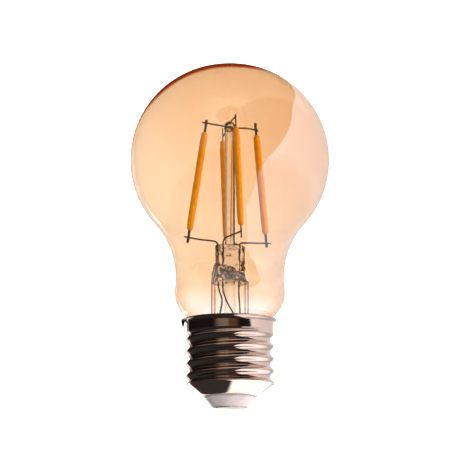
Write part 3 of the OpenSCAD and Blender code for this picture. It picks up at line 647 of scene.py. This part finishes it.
def make_stem():
    """Flare, tube and press as one piece of glass, hollow up to the press."""
    count = 96
    flare_r = SEAL_R - WALL - STEM_R + FLARE_LIP
    centre = (STEM_R + flare_r, SEAL_Z + flare_r + 0.7 + STEM_WALL)
    edge_z = PRESS_TOP - 0.5

    def trumpet(inside):
        r = flare_r + inside
        end = 180 + math.degrees(math.acos((centre[0] - SEAL_R + WALL) / r))
        return arc(centre, r, end, 180, 18)

    def round_part(inside):
        outline = dense(trumpet(inside) + [(STEM_R - inside, SHOULDER_LOW)], 0.6)
        return [[at_angle(r, 360 * j / count, z) for j in range(count)] for r, z in outline]

    def squeezed(wall, low, high, top, steps):
        rings = []
        for i in range(1, steps + 1):
            z = SHOULDER_LOW + (top - SHOULDER_LOW) * i / steps
            k = ease(low, high, z)
            half_w = (STEM_R - wall) + (PRESS_W / 2 - wall * 0.9 - STEM_R + wall) * k
            half_t = (STEM_R - wall) + (PRESS_T / 2 - min(wall, 1.0) * 1.7 - STEM_R + wall) * k
            starts = ease(SHOULDER_LOW, SHOULDER_LOW + 3.5, z)
            ends = 1 - ease(PRESS_TOP - 5, PRESS_TOP - 0.8, z)
            rings.append(pressed(half_w, max(half_t, 0.12), z, SHOULDER_SLOPE * starts * ends, count))
        return rings

    outer = round_part(0) + squeezed(0.0, SHOULDER_LOW + 1.0, PRESS_LOW + 0.9, edge_z, 44)
    for lift, shrink in ((0.2, 0.07), (0.36, 0.2), (0.46, 0.4), (0.5, 0.8), (0.5, 1.4)):
        outer.append(pressed(PRESS_W / 2 - shrink, PRESS_T / 2 - shrink, edge_z + lift, 0, count))
    inner = round_part(STEM_WALL)
    inner += squeezed(STEM_WALL, SHOULDER_LOW + 0.4, PRESS_LOW - 0.6, PRESS_LOW - 0.3, 24)
    inner.append([Vector((p.x * 0.6, p.y * 0.4, p.z + 0.25)) for p in inner[-1]])
    rings = outer + inner
    noise.seed_set(DENT_SEED)
    for ring in rings:
        for j, p in enumerate(ring):
            jaws = ease(SHOULDER_LOW + 0.8, PRESS_LOW, p.z)
            upper = ease(PRESS_LOW + 1.5, PRESS_TOP - 2, p.z)
            ring[j] = crumple(p, JAW_DENTS * jaws * (1 - 0.5 * upper))
    split, end = len(outer), len(rings)
    faces = []
    for first, last in ((0, split - 1), (split, end - 1)):
        for i in range(first, last):
            faces += quads(count, i, i + 1)
    faces += quads(count, 0, split)
    faces.append(tuple(range((split - 1) * count, split * count)))
    faces.append(tuple(range((end - 1) * count, end * count)))
    return mesh_object("stem_glass", [p for ring in rings for p in ring], faces)


def make_exhaust():
    """Thin tube down the stem, melted shut at its tip."""
    tip = EXHAUST_TIP
    top = PRESS_LOW + 0.6
    outside = [(0.0, tip)] + arc((0, tip + EXHAUST_R), EXHAUST_R, -80, 0, 8)
    outside += [(EXHAUST_R, top - 0.4), (EXHAUST_R - 0.3, top)]
    inside = [(EXHAUST_BORE, top), (EXHAUST_BORE, tip + 2.4)]
    inside += [(EXHAUST_BORE * 0.7, tip + 1.5), (0.0, tip + 1.1)]
    return turned("exhaust_glass", dense(outside + inside, 0.7), 48, loop=False)


def make_rod():
    """Centre rod, its foot melted into the press and its top into the bead."""
    outline = [(0.0, PRESS_TOP - 0.5), (ROD_R * 0.9, PRESS_TOP - 0.45), (ROD_R * 1.12, PRESS_TOP),
               (ROD_R, PRESS_TOP + 0.8)]
    steps = 30
    for i in range(1, steps):
        z = PRESS_TOP + 0.8 + (ROD_TOP - PRESS_TOP - 1.2) * i / steps
        outline.append((ROD_R + 0.02 * math.sin(z * 0.7), z))
    outline += [(ROD_R, ROD_TOP - 0.2), (ROD_R * 0.8, ROD_TOP), (0.0, ROD_TOP + 0.05)]
    return turned("rod_glass", dense(outline), 56, loop=False)


def make_bead():
    """Bead melted round the two upper wires, a little lumpy."""
    count, rows = 56, 28
    rings = []
    for i in range(rows + 1):
        lift = -math.pi / 2 + math.pi * i / rows
        ring = []
        for j in range(count):
            a = 2 * math.pi * j / count
            way = Vector((math.cos(a) * math.cos(lift), math.sin(a) * math.cos(lift), math.sin(lift)))
            swell = 1 + 0.11 * noise.noise(way * 2.2 + Vector((3, 1, 2))) - 0.06 * way.z
            ring.append(way * BEAD_R * 0.94 * swell + Vector((0, 0, BEAD_Z)))
        rings.append(ring)
    return skin("bead_glass", rings)


# ---------------------------------------------------------------- wires

def geometry_tree(name, inputs):
    """A geometry node tree with named inputs. Returns it, its input node and the inputs' identifiers."""
    tree = bpy.data.node_groups.new(name, "GeometryNodeTree")
    tree.interface.new_socket("Geometry", in_out="INPUT", socket_type="NodeSocketGeometry")
    wanted = {}
    for label, kind, value in inputs:
        socket = tree.interface.new_socket(label, in_out="INPUT", socket_type="NodeSocket" + kind)
        socket.default_value = value
        wanted[label] = socket.identifier
    finish = tree.interface.new_socket("Material", in_out="INPUT", socket_type="NodeSocketMaterial")
    wanted["Material"] = finish.identifier
    tree.interface.new_socket("Geometry", in_out="OUTPUT", socket_type="NodeSocketGeometry")
    return tree, tree.nodes.new("NodeGroupInput"), wanted


def end_tree(tree, given, geometry):
    """Turns what a tree made into a real mesh in the given material."""
    real = tree.nodes.new("GeometryNodeRealizeInstances")
    paint = tree.nodes.new("GeometryNodeSetMaterial")
    result = tree.nodes.new("NodeGroupOutput")
    tree.links.new(geometry, real.inputs["Geometry"])
    tree.links.new(real.outputs["Geometry"], paint.inputs["Geometry"])
    tree.links.new(given.outputs["Material"], paint.inputs["Material"])
    tree.links.new(paint.outputs["Geometry"], result.inputs["Geometry"])


def tube_tree():
    """Geometry nodes that draw a round wire of a given thickness along a curve."""
    inputs = [("Thickness", "Float", WIRE_D * MM), ("Sides", "Int", 16)]
    tree, given, wanted = geometry_tree("draw_wire", inputs)
    half = tree.nodes.new("ShaderNodeMath")
    half.operation = "MULTIPLY"
    half.inputs[1].default_value = 0.5
    circle = tree.nodes.new("GeometryNodeCurvePrimitiveCircle")
    sweep = tree.nodes.new("GeometryNodeCurveToMesh")
    sweep.inputs["Fill Caps"].default_value = True
    smooth = tree.nodes.new("GeometryNodeSetShadeSmooth")
    link = tree.links.new
    link(given.outputs["Thickness"], half.inputs[0])
    link(half.outputs[0], circle.inputs["Radius"])
    link(given.outputs["Sides"], circle.inputs["Resolution"])
    link(given.outputs["Geometry"], sweep.inputs["Curve"])
    link(circle.outputs["Curve"], sweep.inputs["Profile Curve"])
    link(sweep.outputs["Mesh"], smooth.inputs["Geometry"])
    end_tree(tree, given, smooth.outputs["Geometry"])
    return tree, wanted


TUBE, TUBE_SOCKETS = tube_tree()


def bake_modifier(obj, name):
    """A plain mesh object of what obj's modifiers make. obj itself is removed."""
    bpy.context.view_layer.update()
    seen = obj.evaluated_get(bpy.context.evaluated_depsgraph_get())
    mesh = bpy.data.meshes.new_from_object(seen)
    bpy.data.objects.remove(obj)
    made = bpy.data.objects.new(name, mesh)
    mesh.name = name
    bpy.context.scene.collection.objects.link(made)
    return made


def draw_wire(name, points, slot, thickness=WIRE_D, sides=16, steps=8):
    """A wire along a smooth route through the points."""
    route = smooth_route(points, steps)
    curve = bpy.data.curves.new(name, "CURVE")
    curve.dimensions = "3D"
    spline = curve.splines.new("POLY")
    spline.points.add(len(route) - 1)
    for point, place in zip(spline.points, route):
        point.co = (*(place * MM), 1)
    obj = bpy.data.objects.new(name, curve)
    bpy.context.scene.collection.objects.link(obj)
    modifier = obj.modifiers.new("wire", "NODES")
    modifier.node_group = TUBE
    modifier[TUBE_SOCKETS["Thickness"]] = thickness * MM
    modifier[TUBE_SOCKETS["Sides"]] = sides
    modifier[TUBE_SOCKETS["Material"]] = FINISH[slot]()
    return bake_modifier(obj, name)

def merge(name, pieces):
    """Joins several pieces into one mesh object."""
    work = bmesh.new()
    for piece in pieces:
        work.from_mesh(piece.data)
        bpy.data.objects.remove(piece)
    mesh = bpy.data.meshes.new(name)
    work.to_mesh(mesh)
    work.free()
    made = bpy.data.objects.new(name, mesh)
    bpy.context.scene.collection.objects.link(made)
    return made


LEFT, RIGHT, FRONT, BACK = FILAMENTS.values()
front_head = at_angle(FRONT[2], FRONT[0], HEAD_Z)
back_foot = at_angle(BACK[3], BACK[1], FOOT_Z)
DIMPLE = 0.6


def sealed_end(x):
    """The part of an inner lead that stands in the press, up to the dimple it leaves by."""
    return (x, 0, SEAL_WIRE_TOP), (x, 0, PRESS_TOP - 2 * DIMPLE), (x, 0, PRESS_TOP - DIMPLE)


ROUTES = {
    "jumper_left_right": [
        (-LEFT[2] - TAIL, -WIRE_SIDE, HEAD_Z + 0.4), (-LEFT[2], -WIRE_SIDE, HEAD_Z + 0.2),
        (-LEFT[2] / 2, -WIRE_SIDE / 2, HEAD_Z - 0.1), (-1.7, 0, HEAD_Z - 0.3), (0, 0, HEAD_Z - 0.5),
        (1.7, 0, HEAD_Z - 0.6), (RIGHT[2] * 0.65, -WIRE_SIDE / 2, HEAD_Z - 0.5),
        (RIGHT[2], -WIRE_SIDE, HEAD_Z - 0.9), (RIGHT[2] + 0.7, -WIRE_SIDE, HEAD_Z - 1.1),
    ],
    "jumper_front_back": [
        (front_head.x - WIRE_SIDE, front_head.y - TAIL, HEAD_Z + 0.5),
        (front_head.x - WIRE_SIDE, front_head.y, HEAD_Z + 0.35),
        (front_head.x - WIRE_SIDE / 2, front_head.y / 2, HEAD_Z + 0.3), (0, -1.2, HEAD_Z + 0.45),
        (0, 0, HEAD_Z + 0.45), (0, 1.2, HEAD_Z + 0.3), (WIRE_SIDE / 2, BACK[2] / 2, HEAD_Z - 0.2),
        (WIRE_SIDE + 0.1, BACK[2], HEAD_Z - 0.7), (WIRE_SIDE + 0.1, BACK[2] + TAIL, HEAD_Z - 0.9),
    ],
    "inner_lead_left": [
        *sealed_end(LEFT_X),
        (LEFT_X - 0.4, 0, PRESS_TOP + 0.5), (LEFT_X - 1.6, -WIRE_SIDE / 3, PRESS_TOP + 1),
        (-LEFT[3] * 0.7, -WIRE_SIDE * 0.7, FOOT_Z - 0.2), (-LEFT[3], -WIRE_SIDE, FOOT_Z + 0.2),
        (-LEFT[3] - TAIL, -WIRE_SIDE, FOOT_Z + 0.5),
    ],
    "inner_lead_front": [
        *sealed_end(FRONT_X),
        (FRONT_X + 0.05, -0.3, PRESS_TOP + 0.9), (FRONT_X + 0.4, -1.8, PRESS_TOP + 1.9),
        (FRONT_X * 0.5, -FRONT[3] * 0.45, FOOT_Z + 0.6), (-WIRE_SIDE - 0.2, -FRONT[3] * 0.8, FOOT_Z + 0.5),
        (-WIRE_SIDE, -FRONT[3], FOOT_Z + 0.4), (-WIRE_SIDE, -FRONT[3] - TAIL, FOOT_Z + 0.6),
    ],
    "inner_lead_right": [
        *sealed_end(COMMON_X),
        (COMMON_X + 0.3, 0, PRESS_TOP + 0.5), (COMMON_X + 1.3, -WIRE_SIDE / 3, PRESS_TOP + 0.9),
        (RIGHT[3] * 0.7, -WIRE_SIDE * 0.7, FOOT_Z - 0.4), (RIGHT[3], -WIRE_SIDE, FOOT_Z - 0.3),
        (RIGHT[3] + TAIL, -WIRE_SIDE, FOOT_Z - 0.3),
    ],
    "inner_lead_back": [
        (COMMON_X + 0.1, WIRE_D + 0.02, PRESS_TOP + 0.3), (COMMON_X - 0.6, 1.2, PRESS_TOP + 0.8),
        (COMMON_X - 0.8, 2.4, PRESS_TOP + 0.9), (back_foot.x + WIRE_SIDE, back_foot.y * 0.6, FOOT_Z - 0.3),
        (back_foot.x + WIRE_SIDE + 0.05, back_foot.y, FOOT_Z),
        (back_foot.x + WIRE_SIDE + 0.05, back_foot.y + TAIL, FOOT_Z + 0.1),
    ],
}


def make_wires():
    for name, points in ROUTES.items():
        finish_piece(draw_wire(name + "_wire", points, "nickel_wire"), "nickel_wire", name)


# ---------------------------------------------------------------- filaments

def filament_place(head_angle, foot_angle, head_r, foot_r):
    """The matrix that stands a filament, made along Z about its middle, between its two welds."""
    foot = at_angle(foot_r, foot_angle, FOOT_Z)
    head = at_angle(head_r, head_angle, HEAD_Z)
    rise = head - foot
    turn = math.atan2(rise.y, rise.x)
    lean = math.atan2(math.hypot(rise.x, rise.y), rise.z)
    stand = Matrix.Translation((head + foot) / 2) @ Matrix.Rotation(turn, 4, "Z")
    stand = stand @ Matrix.Rotation(lean, 4, "Y")
    return stand @ Matrix.Rotation(math.radians(foot_angle) - turn, 4, "Z")


def make_coating(name, place, seed):
    """Silicone coating: even along its length, pinched towards both ends, with slightly wavy sides."""
    count, rows = 32, 110
    half = COATING_L / 2
    rings = []
    for i in range(rows + 1):
        t = math.sin(math.pi / 2 * (2 * i / rows - 1))
        z = half * t
        end = half - abs(z)
        round_off = math.sqrt(max(1 - max(1 - end / 0.95, 0.0) ** 2.4, 0.0))
        pinch = 1 - 0.13 * (1 - ease(0.3, 3.6, end))
        wave = 1 + 0.025 * noise.noise(Vector((seed, 0, z * 0.45)))
        r = COATING_R * 1.04 * round_off * pinch * wave
        sway = 0.02 * noise.noise(Vector((0, seed, z * 0.3)))
        ring = []
        for j in range(count):
            a = 2 * math.pi * j / count
            ring.append(place @ Vector((r * math.cos(a) + sway, r * 0.95 * math.sin(a), z)))
        rings.append(ring)
    return skin(name, rings)


def make_tabs(name, place):
    """The two metal ends: thin strips with clipped corners, welded to the wires."""
    pieces = []
    for end in (-1, 1):
        inner, coated, outer = STRIP_L / 2, COATING_L / 2, FILAMENT_L / 2
        stations = [inner, coated - 0.2, coated + 0.5, coated + 1.6, outer - 0.5, outer - 0.12, outer]
        widths = [1.0, 1.0, 0.92, 0.92, 1.0, 0.95, 0.7]
        rings = []
        for z, w in zip(stations, widths):
            half_w, half_t = STRIP_W / 2 * w, TAB_T / 2
            in_w, in_t = half_w - TAB_CHAMFER, half_t - TAB_CHAMFER
            corners = [
                (in_w, -half_t), (half_w, -in_t), (half_w, in_t), (in_w, half_t),
                (-in_w, half_t), (-half_w, in_t), (-half_w, -in_t), (-in_w, -half_t),
            ]
            rings.append([place @ Vector((x, y, end * z)) for x, y in corners])
        pieces.append(skin(name, rings))
        pieces[-1].data.polygons.foreach_set("use_smooth", [False] * len(pieces[-1].data.polygons))
    return merge(name, pieces)


def chips_tree():
    """Geometry nodes that set a row of LED dice along a line."""
    tree, given, wanted = geometry_tree("chip_row", [
        ("Count", "Int", CHIP_COUNT), ("Spacing", "Float", 0.001), ("Die Width", "Float", 0.00064),
        ("Die Length", "Float", 0.0007), ("Die Height", "Float", 0.00016),
    ])
    step = tree.nodes.new("ShaderNodeCombineXYZ")
    line = tree.nodes.new("GeometryNodeMeshLine")
    size = tree.nodes.new("ShaderNodeCombineXYZ")
    die = tree.nodes.new("GeometryNodeMeshCube")
    place = tree.nodes.new("GeometryNodeInstanceOnPoints")
    link = tree.links.new
    link(given.outputs["Spacing"], step.inputs["Z"])
    link(given.outputs["Count"], line.inputs["Count"])
    link(step.outputs[0], line.inputs["Offset"])
    for axis, side in (("X", "Die Width"), ("Y", "Die Height"), ("Z", "Die Length")):
        link(given.outputs[side], size.inputs[axis])
    link(size.outputs[0], die.inputs["Size"])
    link(line.outputs["Mesh"], place.inputs["Points"])
    link(die.outputs["Mesh"], place.inputs["Instance"])
    end_tree(tree, given, place.outputs["Instances"])
    return tree, wanted


CHIPS, CHIP_SOCKETS = chips_tree()


def make_chips(name, place):
    """A filament's row of dice on the front of its strip."""
    spacing = (STRIP_L - 1) / CHIP_COUNT
    obj = bpy.data.objects.new(name, bpy.data.meshes.new(name))
    bpy.context.scene.collection.objects.link(obj)
    modifier = obj.modifiers.new("chips", "NODES")
    modifier.node_group = CHIPS
    modifier[CHIP_SOCKETS["Count"]] = CHIP_COUNT
    modifier[CHIP_SOCKETS["Spacing"]] = spacing * MM
    modifier[CHIP_SOCKETS["Material"]] = FINISH["led_chip"]()
    made = bake_modifier(obj, name)
    start = Vector((0, -STRIP_T / 2 - 0.08, -(CHIP_COUNT - 1) / 2 * spacing))
    for vertex in made.data.vertices:
        vertex.co = (place @ (vertex.co / MM + start)) * MM
    return made


def make_filaments():
    for seed, (side, stand) in enumerate(FILAMENTS.items()):
        place = filament_place(*stand)
        node = "filament_" + side
        finish_piece(make_coating(node + "_silicone", place, 7.3 * seed + 2.0), "phosphor", node + "_coating")
        finish_piece(make_tabs(node + "_ends", place), "tab_metal", node + "_tabs")
        finish_piece(make_chips(node + "_dice", place), "led_chip", node + "_chips")


# ---------------------------------------------------------------- cap

def shell_outline(steps):
    """The shell's outer outline from the rim down to the lip, before the thread."""
    flare = RIM_R - COLLAR_R
    line = arc((RIM_R, CAP_H - SHEET - flare), flare, 90, 180, 10)
    top = THREAD_TOP + 0.6
    for i in range(steps + 1):
        z = top + (THREAD_LOW - top) * i / steps
        line.append((COLLAR_R + (THREAD_R - COLLAR_R) * ease(THREAD_TOP + 0.4, THREAD_TOP - 0.8, z), z))
    line += [(CONE_TOP_R + 0.35, THREAD_LOW - 0.08), (CONE_TOP_R, THREAD_LOW - 0.3)]
    line += [(LIP_R + out, LIP_Z + up) for out, up in ((1.0, 0.5), (0.6, 0.22), (0.3, 0.07), (0, 0))]
    return line


def thread_dip(z, angle):
    """How far the rolled thread lies below the outline."""
    turn = (z - THREAD_PHASE) / PITCH - angle / 360
    wave = 1 - ((1 + math.cos(2 * math.pi * turn)) / 2) ** 1.4
    fade = (1 - ease(THREAD_TOP - 1, THREAD_TOP + 0.3, z)) * ease(THREAD_LOW - 0.1, THREAD_LOW + 0.9, z)
    return THREAD_DEPTH * wave * fade


def make_shell():
    outline = shell_outline(150)
    inner = []
    for i, point in enumerate(outline):
        before, after = outline[max(i - 1, 0)], outline[min(i + 1, len(outline) - 1)]
        dx, dz = after[0] - before[0], after[1] - before[1]
        length = math.hypot(dx, dz)
        inner.append((point[0] + SHEET * dz / length, point[1] - SHEET * dx / length))
    sides = 240
    rings = []
    for (r, z), (_, height) in zip(outline + inner[::-1], outline + outline[::-1]):
        ring = []
        for j in range(sides):
            angle = 360 * j / sides
            ring.append(at_angle(r - thread_dip(height, angle), angle, z))
        rings.append(ring)
    return skin("screw_cap_shell", rings, loop=True)


def make_side_contact():
    """The side wire's solder: a dull drop that hangs from the rim in a point."""
    rows, count = 16, 20
    way, side = at_angle(1, SIDE_ANGLE, 0), at_angle(1, SIDE_ANGLE + 90, 0)
    rings = []
    for i in range(rows + 1):
        t = i / rows
        shoulder = math.sin(math.pi * min(0.16 + 0.5 * t, 1)) ** 0.5
        width = DROP_W / 2 * shoulder * (1 - t) ** 0.75 + 0.02
        depth = DROP_DEPTH * (1 - t) ** 0.7 + 0.02
        out = RIM_R + 0.6 - 0.55 * t * t - depth
        ring = []
        for j in range(count):
            a = 2 * math.pi * j / count
            p = way * (out + depth * math.cos(a)) + side * (width * math.sin(a))
            ring.append(Vector((p.x, p.y, CAP_H - 0.05 - DROP_L * t)))
        rings.append(ring)
    return skin("side_contact_drop", rings)


def make_insulator():
    """The cone of opaque glass between the shell's lip and the centre contact."""
    bore, low, seat = INSULATOR_BORE, INSULATOR_LOW, 0.72
    outline = [(bore, seat), (bore, low), (bore + 0.3, low)]
    outline += arc((5.1, low + 0.45), 0.45, -80, -35, 5)
    outline += [(7.2, LIP_Z - 0.8), (7.55, LIP_Z - 0.42), (7.6, LIP_Z - 0.3), (7.6, LIP_Z - 0.1)]
    outline += [(8.2, LIP_Z + 0.25), (8.3, LIP_Z + 0.8), (3.0, LIP_Z + 0.8), (3.0, seat)]
    return turned("insulator_cone", outline, 144)


# ---------------------------------------------------------------- carried-over pieces

def finish_cad_nodes():
    """Gives every CAD piece the finish of its material slot."""
    slots = {entry["node"]: entry["material_slot"] for entry in frame["record"]["subparts"]}
    for name, obj in nodes.items():
        obj.data.materials.clear()
        obj.data.materials.append(FINISH[slots[name]]())


# ---------------------------------------------------------------- studio

CAMERA_AZIMUTH = -15.8
CAMERA_DISTANCE = 510.5
CAMERA_HEIGHT = -49.3
CAMERA_TILT = 11.57
CAMERA_PAN = 0.165
LENS = 138.7
WHITE = 1.95
CARD_Z = 0.043
CARD_RADII = (0.0178, 0.04)
ONLY_MIRRORED = ("camera", "diffuse", "transmission", "shadow")


def make_camera():
    camera = bpy.data.objects.new("camera", bpy.data.cameras.new("camera"))
    camera.data.lens = LENS
    camera.data.sensor_width = 36
    camera.data.clip_start = 0.01
    camera.data.clip_end = 20
    a = math.radians(CAMERA_AZIMUTH)
    flat = Vector((math.sin(a) * CAMERA_DISTANCE, -math.cos(a) * CAMERA_DISTANCE, CAMERA_HEIGHT))
    camera.location = flat * MM
    camera.rotation_euler = (math.radians(90 + CAMERA_TILT), 0, math.radians(CAMERA_AZIMUTH + CAMERA_PAN))
    bpy.context.scene.collection.objects.link(camera)
    bpy.context.scene.camera = camera


def make_world():
    """A pale sweep behind and below, a large softbox on the right and a dark room elsewhere.

    The bulb's glass and metal mirror these. What the camera sees straight through is plain white.
    """
    world = bpy.data.worlds.new("studio")
    bpy.context.scene.world = world
    world.use_nodes = True
    tree = world.node_tree
    tree.nodes.clear()
    output = tree.nodes.new("ShaderNodeOutputWorld")
    way = shade(tree, "TexCoord").outputs["Generated"]
    right, front = across_and_near(tree, way)
    up = shade(tree, "SeparateXYZ", {0: way}).outputs["Z"]

    def plus(*terms):
        """The sum of factor times value over the terms."""
        total = 0.0
        for factor, value in terms:
            total = sum_up(tree, "MULTIPLY_ADD", value, factor, total)
        return total

    def step(value, at, soft):
        """1 where value is well below at, 0 where it is well above."""
        return fade(tree, value, at - soft, at + soft, 1.0, 0.0)

    def product(*values):
        total = values[0]
        for value in values[1:]:
            total = sum_up(tree, "MULTIPLY", total, value)
        return total

    # The sweep: its left edge is one straight line over the table and up the backdrop
    left_edge = step(plus((1.0, front), (-1.42, right), (-0.12, up)), 0.0, 0.015)
    top_edge = step(plus((1.0, up), (0.31, front)), 0.0, 0.03)
    below = step(up, -0.03, 0.01)
    behind = product(top_edge, step(front, 0.0, 0.02))
    # The softbox: a tilted panel on the right, in front of the backdrop
    panel = product(
        step(plus((-1.0, right)), 0.0, 0.02),
        step(plus((1.0, up), (0.396, front), (-0.873, right)), 0.0, 0.015),
        step(plus((1.0, front), (1.089, up), (-0.805, right)), 0.0, 0.02),
        left_edge,
        step(plus((-1.0, up)), 0.03, 0.03),
    )
    open_back = sum_up(tree, "SUBTRACT", behind, panel, clamp=True)
    sweep = product(left_edge, sum_up(tree, "MAXIMUM", below, open_back))
    # The room in front: a grey-green wall, a brown door, and darkness
    dark, wall, door = (0.012, 0.009, 0.009), (0.19, 0.155, 0.11), (0.13, 0.06, 0.032)
    turn = sum_up(tree, "ARCTAN2", right, front)
    angles = (
        (-44, dark), (-27, wall), (-7, (0.23, 0.19, 0.14)), (-2, door), (14, (0.12, 0.055, 0.03)), (26, dark),
    )
    room = colours_along(tree, fade(tree, turn, -math.pi, math.pi, soft=False), dark, (0.02, 0.015, 0.013),
                         [((angle + 180) / 360, colour) for angle, colour in angles])
    walls = dye(tree, fade(tree, up, 0.25, 0.7), room, (0.05, 0.036, 0.03))
    lit = dye(tree, panel, walls, (1.08, 1.01, 0.99))
    fall = fade(tree, front, -0.9, 0.7, 0.85, 1.2, soft=False)
    scaled = shade(tree, "VectorMath", {0: lit, "Scale": fall}, operation="SCALE").outputs[0]
    studio = dye(tree, sweep, scaled, (0.4, 0.4, 0.4))
    path = shade(tree, "LightPath").outputs
    straight = fade(tree, front, -0.95, -0.78, 0.85, 0.0)
    bent = sum_up(tree, "MULTIPLY", path["Is Transmission Ray"], straight)
    direct = sum_up(tree, "MAXIMUM", path["Is Camera Ray"], bent)
    seen = dye(tree, direct, studio, (WHITE, WHITE, WHITE))
    background = shade(tree, "Background", {"Color": seen, "Strength": 1.0})
    tree.links.new(background.outputs[0], output.inputs["Surface"])


def make_lamp(name, place, size, power, colour=(1, 1, 1)):
    """A soft area lamp aimed at the bulb, seen in no mirror."""
    lamp = bpy.data.lights.new(name, "AREA")
    lamp.size = size
    lamp.energy = power
    lamp.color = colour
    obj = bpy.data.objects.new(name, lamp)
    obj.location = place
    obj.rotation_euler = (Vector((0, 0, 0.06)) - Vector(place)).to_track_quat("-Z", "Y").to_euler()
    obj.visible_glossy = False
    obj.visible_transmission = False
    obj.visible_camera = False
    bpy.context.scene.collection.objects.link(obj)


def stage_piece(name, points, faces, material, *unseen_by):
    """Something that stands in the studio, left out of the given kinds of light path."""
    mesh = bpy.data.meshes.new(name)
    mesh.from_pydata(points, [], faces)
    mesh.materials.append(material)
    piece = bpy.data.objects.new(name, mesh)
    bpy.context.scene.collection.objects.link(piece)
    for kind in unseen_by:
        setattr(piece, "visible_" + kind, False)
    return piece


def square(side, z):
    """The points and the face of a level square, side metres from its middle to each edge."""
    return [(-side, -side, z), (side, -side, z), (side, side, z), (-side, side, z)], [(0, 1, 2, 3)]


def make_floor():
    """A pale floor that fades out round the bulb and is only there when seen from above."""
    material, tree, output = new_material("pale_floor")
    place = shade(tree, "TexCoord").outputs["Object"]
    away = shade(tree, "VectorMath", {0: place}, operation="LENGTH").outputs["Value"]
    under = shade(tree, "NewGeometry").outputs["Backfacing"]
    gone = sum_up(tree, "MAXIMUM", fade(tree, away, 0.08, 0.6), under)
    paper = shade(tree, "BsdfDiffuse", {"Color": (0.86, 0.86, 0.86, 1)})
    both = layered(tree, gone, paper, shade(tree, "BsdfTransparent"))
    tree.links.new(both.outputs[0], output.inputs["Surface"])
    floor = stage_piece("floor", *square(3.0, 0), material, "glossy", "transmission")


def make_table():
    """The white table top that only the bulb's mirrors see. Its left edge passes in front of the cap."""
    material, tree, output = new_material("white_table")
    place = shade(tree, "TexCoord").outputs["Object"]
    across, near = across_and_near(tree, place)
    away = shade(tree, "VectorMath", {0: place}, operation="LENGTH").outputs["Value"]
    # The edge: a line that bends twice, less steep each time
    edge = sum_up(tree, "MULTIPLY_ADD", across, -1.45, near)
    for slope, shift in ((-0.95, -0.0445), (-0.75, -0.1225)):
        line = sum_up(tree, "MULTIPLY_ADD", across, slope, near)
        edge = sum_up(tree, "MAXIMUM", edge, sum_up(tree, "ADD", line, shift))
    white = fade(tree, edge, 0.0075, 0.0105, 1.0, 0.0)
    # Its light: strong close to the bulb, weaker under its foot and far off on the left
    close_by = fade(tree, away, 0.008, 0.055, 2.1, 0.64)
    open_light = between(tree, fade(tree, away, 0.06, 0.6), close_by, 1.0)
    left = fade(tree, across, -0.05, 0.0, 1.0, 0.0, soft=False)
    distant = fade(tree, away, 0.25, 0.8, 2.0, 0.2, soft=False)
    shared = sum_up(tree, "MULTIPLY", open_light, between(tree, left, 1.0, distant))
    under = fade(tree, away, 0.0045, 0.0085, 0.35, 1.0, soft=False)
    beyond = fade(tree, edge, 0.01, 0.08, 0.05, 0.02, soft=False)
    glow = between(tree, white, beyond, sum_up(tree, "MULTIPLY", shared, under))
    light = shade(tree, "Emission", {"Color": (1.0, 0.97, 0.95, 1), "Strength": glow})
    tree.links.new(light.outputs[0], output.inputs["Surface"])
    table = stage_piece("table", *square(4.0, -0.001), material, *ONLY_MIRRORED)


def make_reflector():
    """A small ring of card over the cap, lit on its underside, that only the mirrors under it see."""
    material, tree, output = new_material("reflector_card")
    place = shade(tree, "TexCoord").outputs["Object"]
    across, _ = across_and_near(tree, place)
    bright = colours_along(
        tree, fade(tree, across, -0.03, 0.03, soft=False), (0.24, 0.20, 0.195), (1.0, 0.93, 0.88),
        ((0.21, (0.20, 0.17, 0.16)), (0.27, (0.8, 0.7, 0.53)), (0.62, (0.95, 0.86, 0.7))),
    )
    light = shade(tree, "Emission", {"Color": bright, "Strength": 1.0})
    above = shade(tree, "NewGeometry").outputs["Backfacing"]
    away = shade(tree, "VectorMath", {0: place}, operation="LENGTH").outputs["Value"]
    gone = sum_up(tree, "MAXIMUM", above, fade(tree, away, 0.05, 0.0585))
    both = layered(tree, gone, light, shade(tree, "BsdfTransparent"))
    tree.links.new(both.outputs[0], output.inputs["Surface"])
    turns = 48
    points = [at_angle(r, 360 * j / turns, CARD_Z) for r in CARD_RADII for j in range(turns)]
    card = stage_piece("reflector", points, quads(turns, 0, 1), material, *ONLY_MIRRORED)


def make_studio():
    make_camera()
    make_world()
    make_floor()
    make_table()
    make_reflector()
    make_lamp("right_softbox", (0.5, -0.25, 0.2), 0.45, 7.0)
    make_lamp("front_fill", (-0.25, -0.7, 0.1), 0.4, 5.5)
    make_lamp("back_glow", (-0.2, 0.6, 0.15), 0.5, 5.0)
    scene = bpy.context.scene
    scene.view_settings.view_transform = "Standard"
    scene.cycles.transparent_max_bounces = 32
    scene.cycles.max_bounces = 24
    scene.cycles.transmission_bounces = 20
    scene.cycles.glossy_bounces = 8
    scene.cycles.use_denoising = True


# ---------------------------------------------------------------- the bulb

make_studio()
finish_cad_nodes()
finish_piece(make_envelope(), "amber_glass", "glass_envelope")
finish_piece(make_stem(), "clear_glass", "stem_flare")
finish_piece(make_exhaust(), "clear_glass", "exhaust_tube")
finish_piece(make_rod(), "clear_glass", "stem_rod")
finish_piece(make_bead(), "clear_glass", "stem_bead")
make_wires()
make_filaments()
finish_piece(make_shell(), "cap_metal", "screw_shell")
finish_piece(make_side_contact(), "solder", "side_solder")
finish_piece(make_insulator(), "insulator", "cap_insulator")
